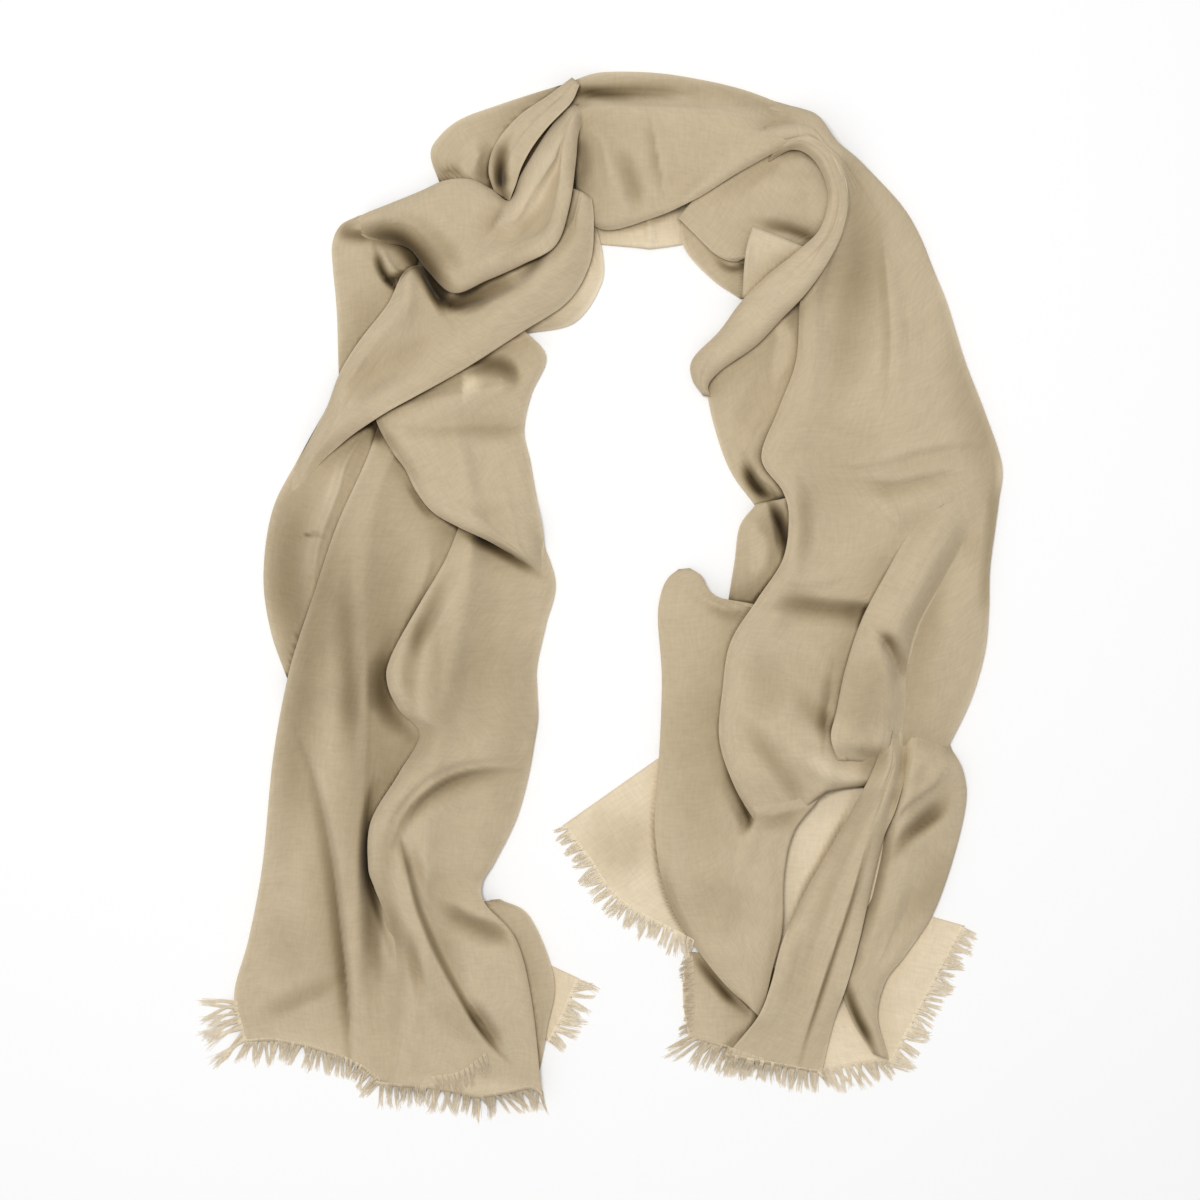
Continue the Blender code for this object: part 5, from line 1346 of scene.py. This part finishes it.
def growTuft(curve, chance, root, tangent, outward, reach, spacing):
    curl = chance.normal(*yarn["curl"])
    gather = chance.uniform(*yarn["gather"])
    wide = spacing * chance.uniform(*yarn["wide"])
    for strand in range(yarn["perTuft"]):
        across = (strand / (yarn["perTuft"] - 1) - 0.5) * wide * chance.uniform(*yarn["strandPlace"])
        own = reach * chance.uniform(*yarn["strandReach"])
        bow = curl + chance.normal(*yarn["bow"])
        spline = curve.splines.new("NURBS")
        spline.points.add(yarn["points"] - 1)
        spline.use_endpoint_u = True
        spline.order_u = 4
        for k, point in enumerate(spline.points):
            t = k / (yarn["points"] - 1)
            out = -yarn["rootBack"] + (own + yarn["rootBack"]) * t
            aside = across * (1 - gather * t ** yarn["gatherPower"]) + bow * own * t * t
            spot = root[:2] + outward * out + tangent * aside
            under = float(pileTop(np.array([spot[0]]), np.array([spot[1]]), 0)[0])
            stand = chance.uniform(*yarn["loose"]) * mm * math.sin(math.pi * t)
            lift = max(under + yarn["lie"], root[2] * (1 - t) ** yarn["fallPower"]) + stand
            point.co = (*spot, lift if k else under + yarn["lieAtRoot"], 1)
            point.radius = yarn["radius"][0] - yarn["radius"][1] * t


def turned(way, angle):
    return np.array([
        way[0] * math.cos(angle) - way[1] * math.sin(angle),
        way[0] * math.sin(angle) + way[1] * math.cos(angle),
    ])


def growHem(spec, curve, chance):
    line = np.vstack([hemLine(*hem) for hem in spec["hems"]])
    middle = np.mean([[a.mean() for a in byName[hem[0]]["grid"][:2]] for hem in spec["hems"]], axis=0)
    shares, lengths, leans = np.array(spec["rows"], float).T
    length = lengthSoFar(line[:, :2])
    count = round(length[-1] / yarn["tuftEvery"] * spec.get("dense", 1))
    spacing = length[-1] / count
    roots = []
    for tuft in range(count):
        gone = (tuft + 0.5 + chance.uniform(*yarn["step"])) * spacing
        behind, root, ahead = (np.array([np.interp(gone + way, length, axis) for axis in line.T])
                               for way in (-yarn["aheadBy"], 0, yarn["aheadBy"]))
        tangent = (ahead - behind)[:2]
        tangent = tangent / max(np.hypot(*tangent), 1e-9)
        outward = np.array([-tangent[1], tangent[0]])
        if np.dot(outward, root[:2] - middle) < 0:
            outward = -outward
        lean = np.interp(gone / length[-1], shares, leans) + chance.normal(*yarn["lean"])
        reach = np.interp(gone / length[-1], shares, lengths) * mm * yarn["longer"] * chance.uniform(*yarn["reach"])
        roots.append(root[:2])
        growTuft(curve, chance, root, tangent, turned(outward, math.radians(lean)), reach, spacing)
    return roots


def growOnTop(points, long, toward, curve, chance):
    spots = smoothRows(points, evenRows(np.array(points, float), yarn["onTopCell"]))
    px, py = place(spots[:, 0], spots[:, 1])
    heights = pileTop(px, py, 1) + yarn["lieOnTop"]
    toward = np.array(toward) / np.hypot(*toward)
    roots = []
    for k in range(len(px) - 1):
        tangent = np.array([px[k + 1] - px[k], py[k + 1] - py[k]])
        root = np.array([px[k], py[k], heights[k]])
        roots.append(root[:2])
        reach = long * mm * chance.uniform(*yarn["reachOnTop"])
        growTuft(curve, chance, root, tangent / np.hypot(*tangent), toward, reach, yarn["tuftEvery"])
    return roots


def meshFromCurve(curve, name):
    source = addObject(name + "Lines", curve)
    bpy.context.view_layer.update()
    mesh = bpy.data.meshes.new_from_object(source.evaluated_get(bpy.context.evaluated_depsgraph_get()))
    bpy.data.objects.remove(source)
    mesh.name = name
    mesh.materials.clear()
    mesh.materials.append(fringeYarn)
    mesh.shade_smooth()
    return mesh


def toneFringe(mesh, spec, roots):
    # lighter toward the tips
    spots = np.empty(3 * len(mesh.vertices))
    mesh.vertices.foreach_get("co", spots)
    spots, heights = spots.reshape(-1, 3)[:, :2], spots.reshape(-1, 3)[:, 2]
    away = np.full(len(spots), 1.0)
    for root in roots:
        away = np.minimum(away, np.hypot(*(spots - root).T))
    shade = np.interp(away, [0, yarn["paleFrom"]], spec["tone"])
    for points, long, toward in spec.get("onTop", []):
        near = np.min([np.hypot(*(spots - place(*point)).T) for point in points], axis=0) < yarn["doubledWithin"]
        shade[near & (heights > yarn["doubledAbove"])] *= yarn["doubledTone"]
    mesh.attributes.new("single", "FLOAT", "POINT").data.foreach_set("value", shade)


def makeFringe(spec, number):
    chance = np.random.default_rng(yarn["seed"] + number)
    curve = bpy.data.curves.new(spec["name"], "CURVE")
    curve.dimensions = "3D"
    curve.bevel_depth = yarn["thick"]
    curve.bevel_resolution = 0
    curve.resolution_u = 2
    curve.use_fill_caps = True
    roots = growHem(spec, curve, chance)
    for edge in spec.get("onTop", []):
        roots += growOnTop(*edge, curve, chance)
    mesh = meshFromCurve(curve, spec["name"])
    toneFringe(mesh, spec, roots)
    piece = addObject(spec["name"], mesh)
    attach(piece, "root")
    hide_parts(spec["node"])
    spec["piece"] = piece


for number, spec in enumerate(fringes):
    makeFringe(spec, number)
print("fringes made:", len(fringes), "triangles:", sum(2 * len(f["piece"].data.polygons) for f in fringes))


# how many stretches were laid

print("sheets stated:", len(stretches))


# floor, lights and camera

studio = {
    "floor": (0.95, 0.95, 0.95),
    "floorSize": 6,
    "floorDrop": 0.3 * mm,
    "floorRough": 0.9,
    "floorSpecular": 0.1,
    "viewWidth": 1.0573,
    "viewMiddle": (60.0, 60.0),
    "viewRise": 0.012,
    "lens": 100,
    "sensor": 36,
    "farthest": 20,
    "fill": 0.50,
    "keyPower": 66.5,
    "keySize": 1.0,
    "keyPlace": (-0.35, 0.5, 3.3),
}


def makeFloor():
    surface = bmesh.new()
    bmesh.ops.create_grid(surface, x_segments=1, y_segments=1, size=studio["floorSize"])
    bmesh.ops.translate(surface, vec=(0, 0, -studio["floorDrop"]), verts=surface.verts[:])
    material = bpy.data.materials.new("paleFloor")
    material.use_nodes = True
    shader = material.node_tree.nodes["Principled BSDF"]
    for label, key in (("Base Color", "floor"), ("Roughness", "floorRough"),
                       ("Specular IOR Level", "floorSpecular")):
        feed(material.node_tree, shader.inputs[label], studio[key])
    floor = addObject("studioFloor", closeMesh(surface, "studioFloor", material))


def makeLights():
    world = bpy.data.worlds.new("softRoom")
    bpy.context.scene.world = world
    world.use_nodes = True
    back = world.node_tree.nodes["Background"]
    feed(world.node_tree, back.inputs["Color"], (1.0, 1.0, 1.0))
    feed(world.node_tree, back.inputs["Strength"], studio["fill"])
    lamp = bpy.data.lights.new("keyLight", "AREA")
    lamp.energy = studio["keyPower"]
    lamp.size = studio["keySize"]
    key = addObject("keyLight", lamp)
    key.location = studio["keyPlace"]
    key.rotation_euler = (-Vector(studio["keyPlace"])).to_track_quat("-Z", "Y").to_euler()


def makeCamera():
    data = bpy.data.cameras.new("overheadCamera")
    data.lens = studio["lens"]
    data.sensor_width = studio["sensor"]
    data.clip_end = studio["farthest"]
    camera = addObject("overheadCamera", data)
    x, y = place(*studio["viewMiddle"])
    away = studio["viewWidth"] * studio["lens"] / studio["sensor"] + studio["viewRise"]
    camera.location = (float(x), float(y), away)
    bpy.context.scene.camera = camera
    bpy.context.scene.view_settings.view_transform = "Standard"


makeFloor()
makeLights()
makeCamera()
print("studio ready")
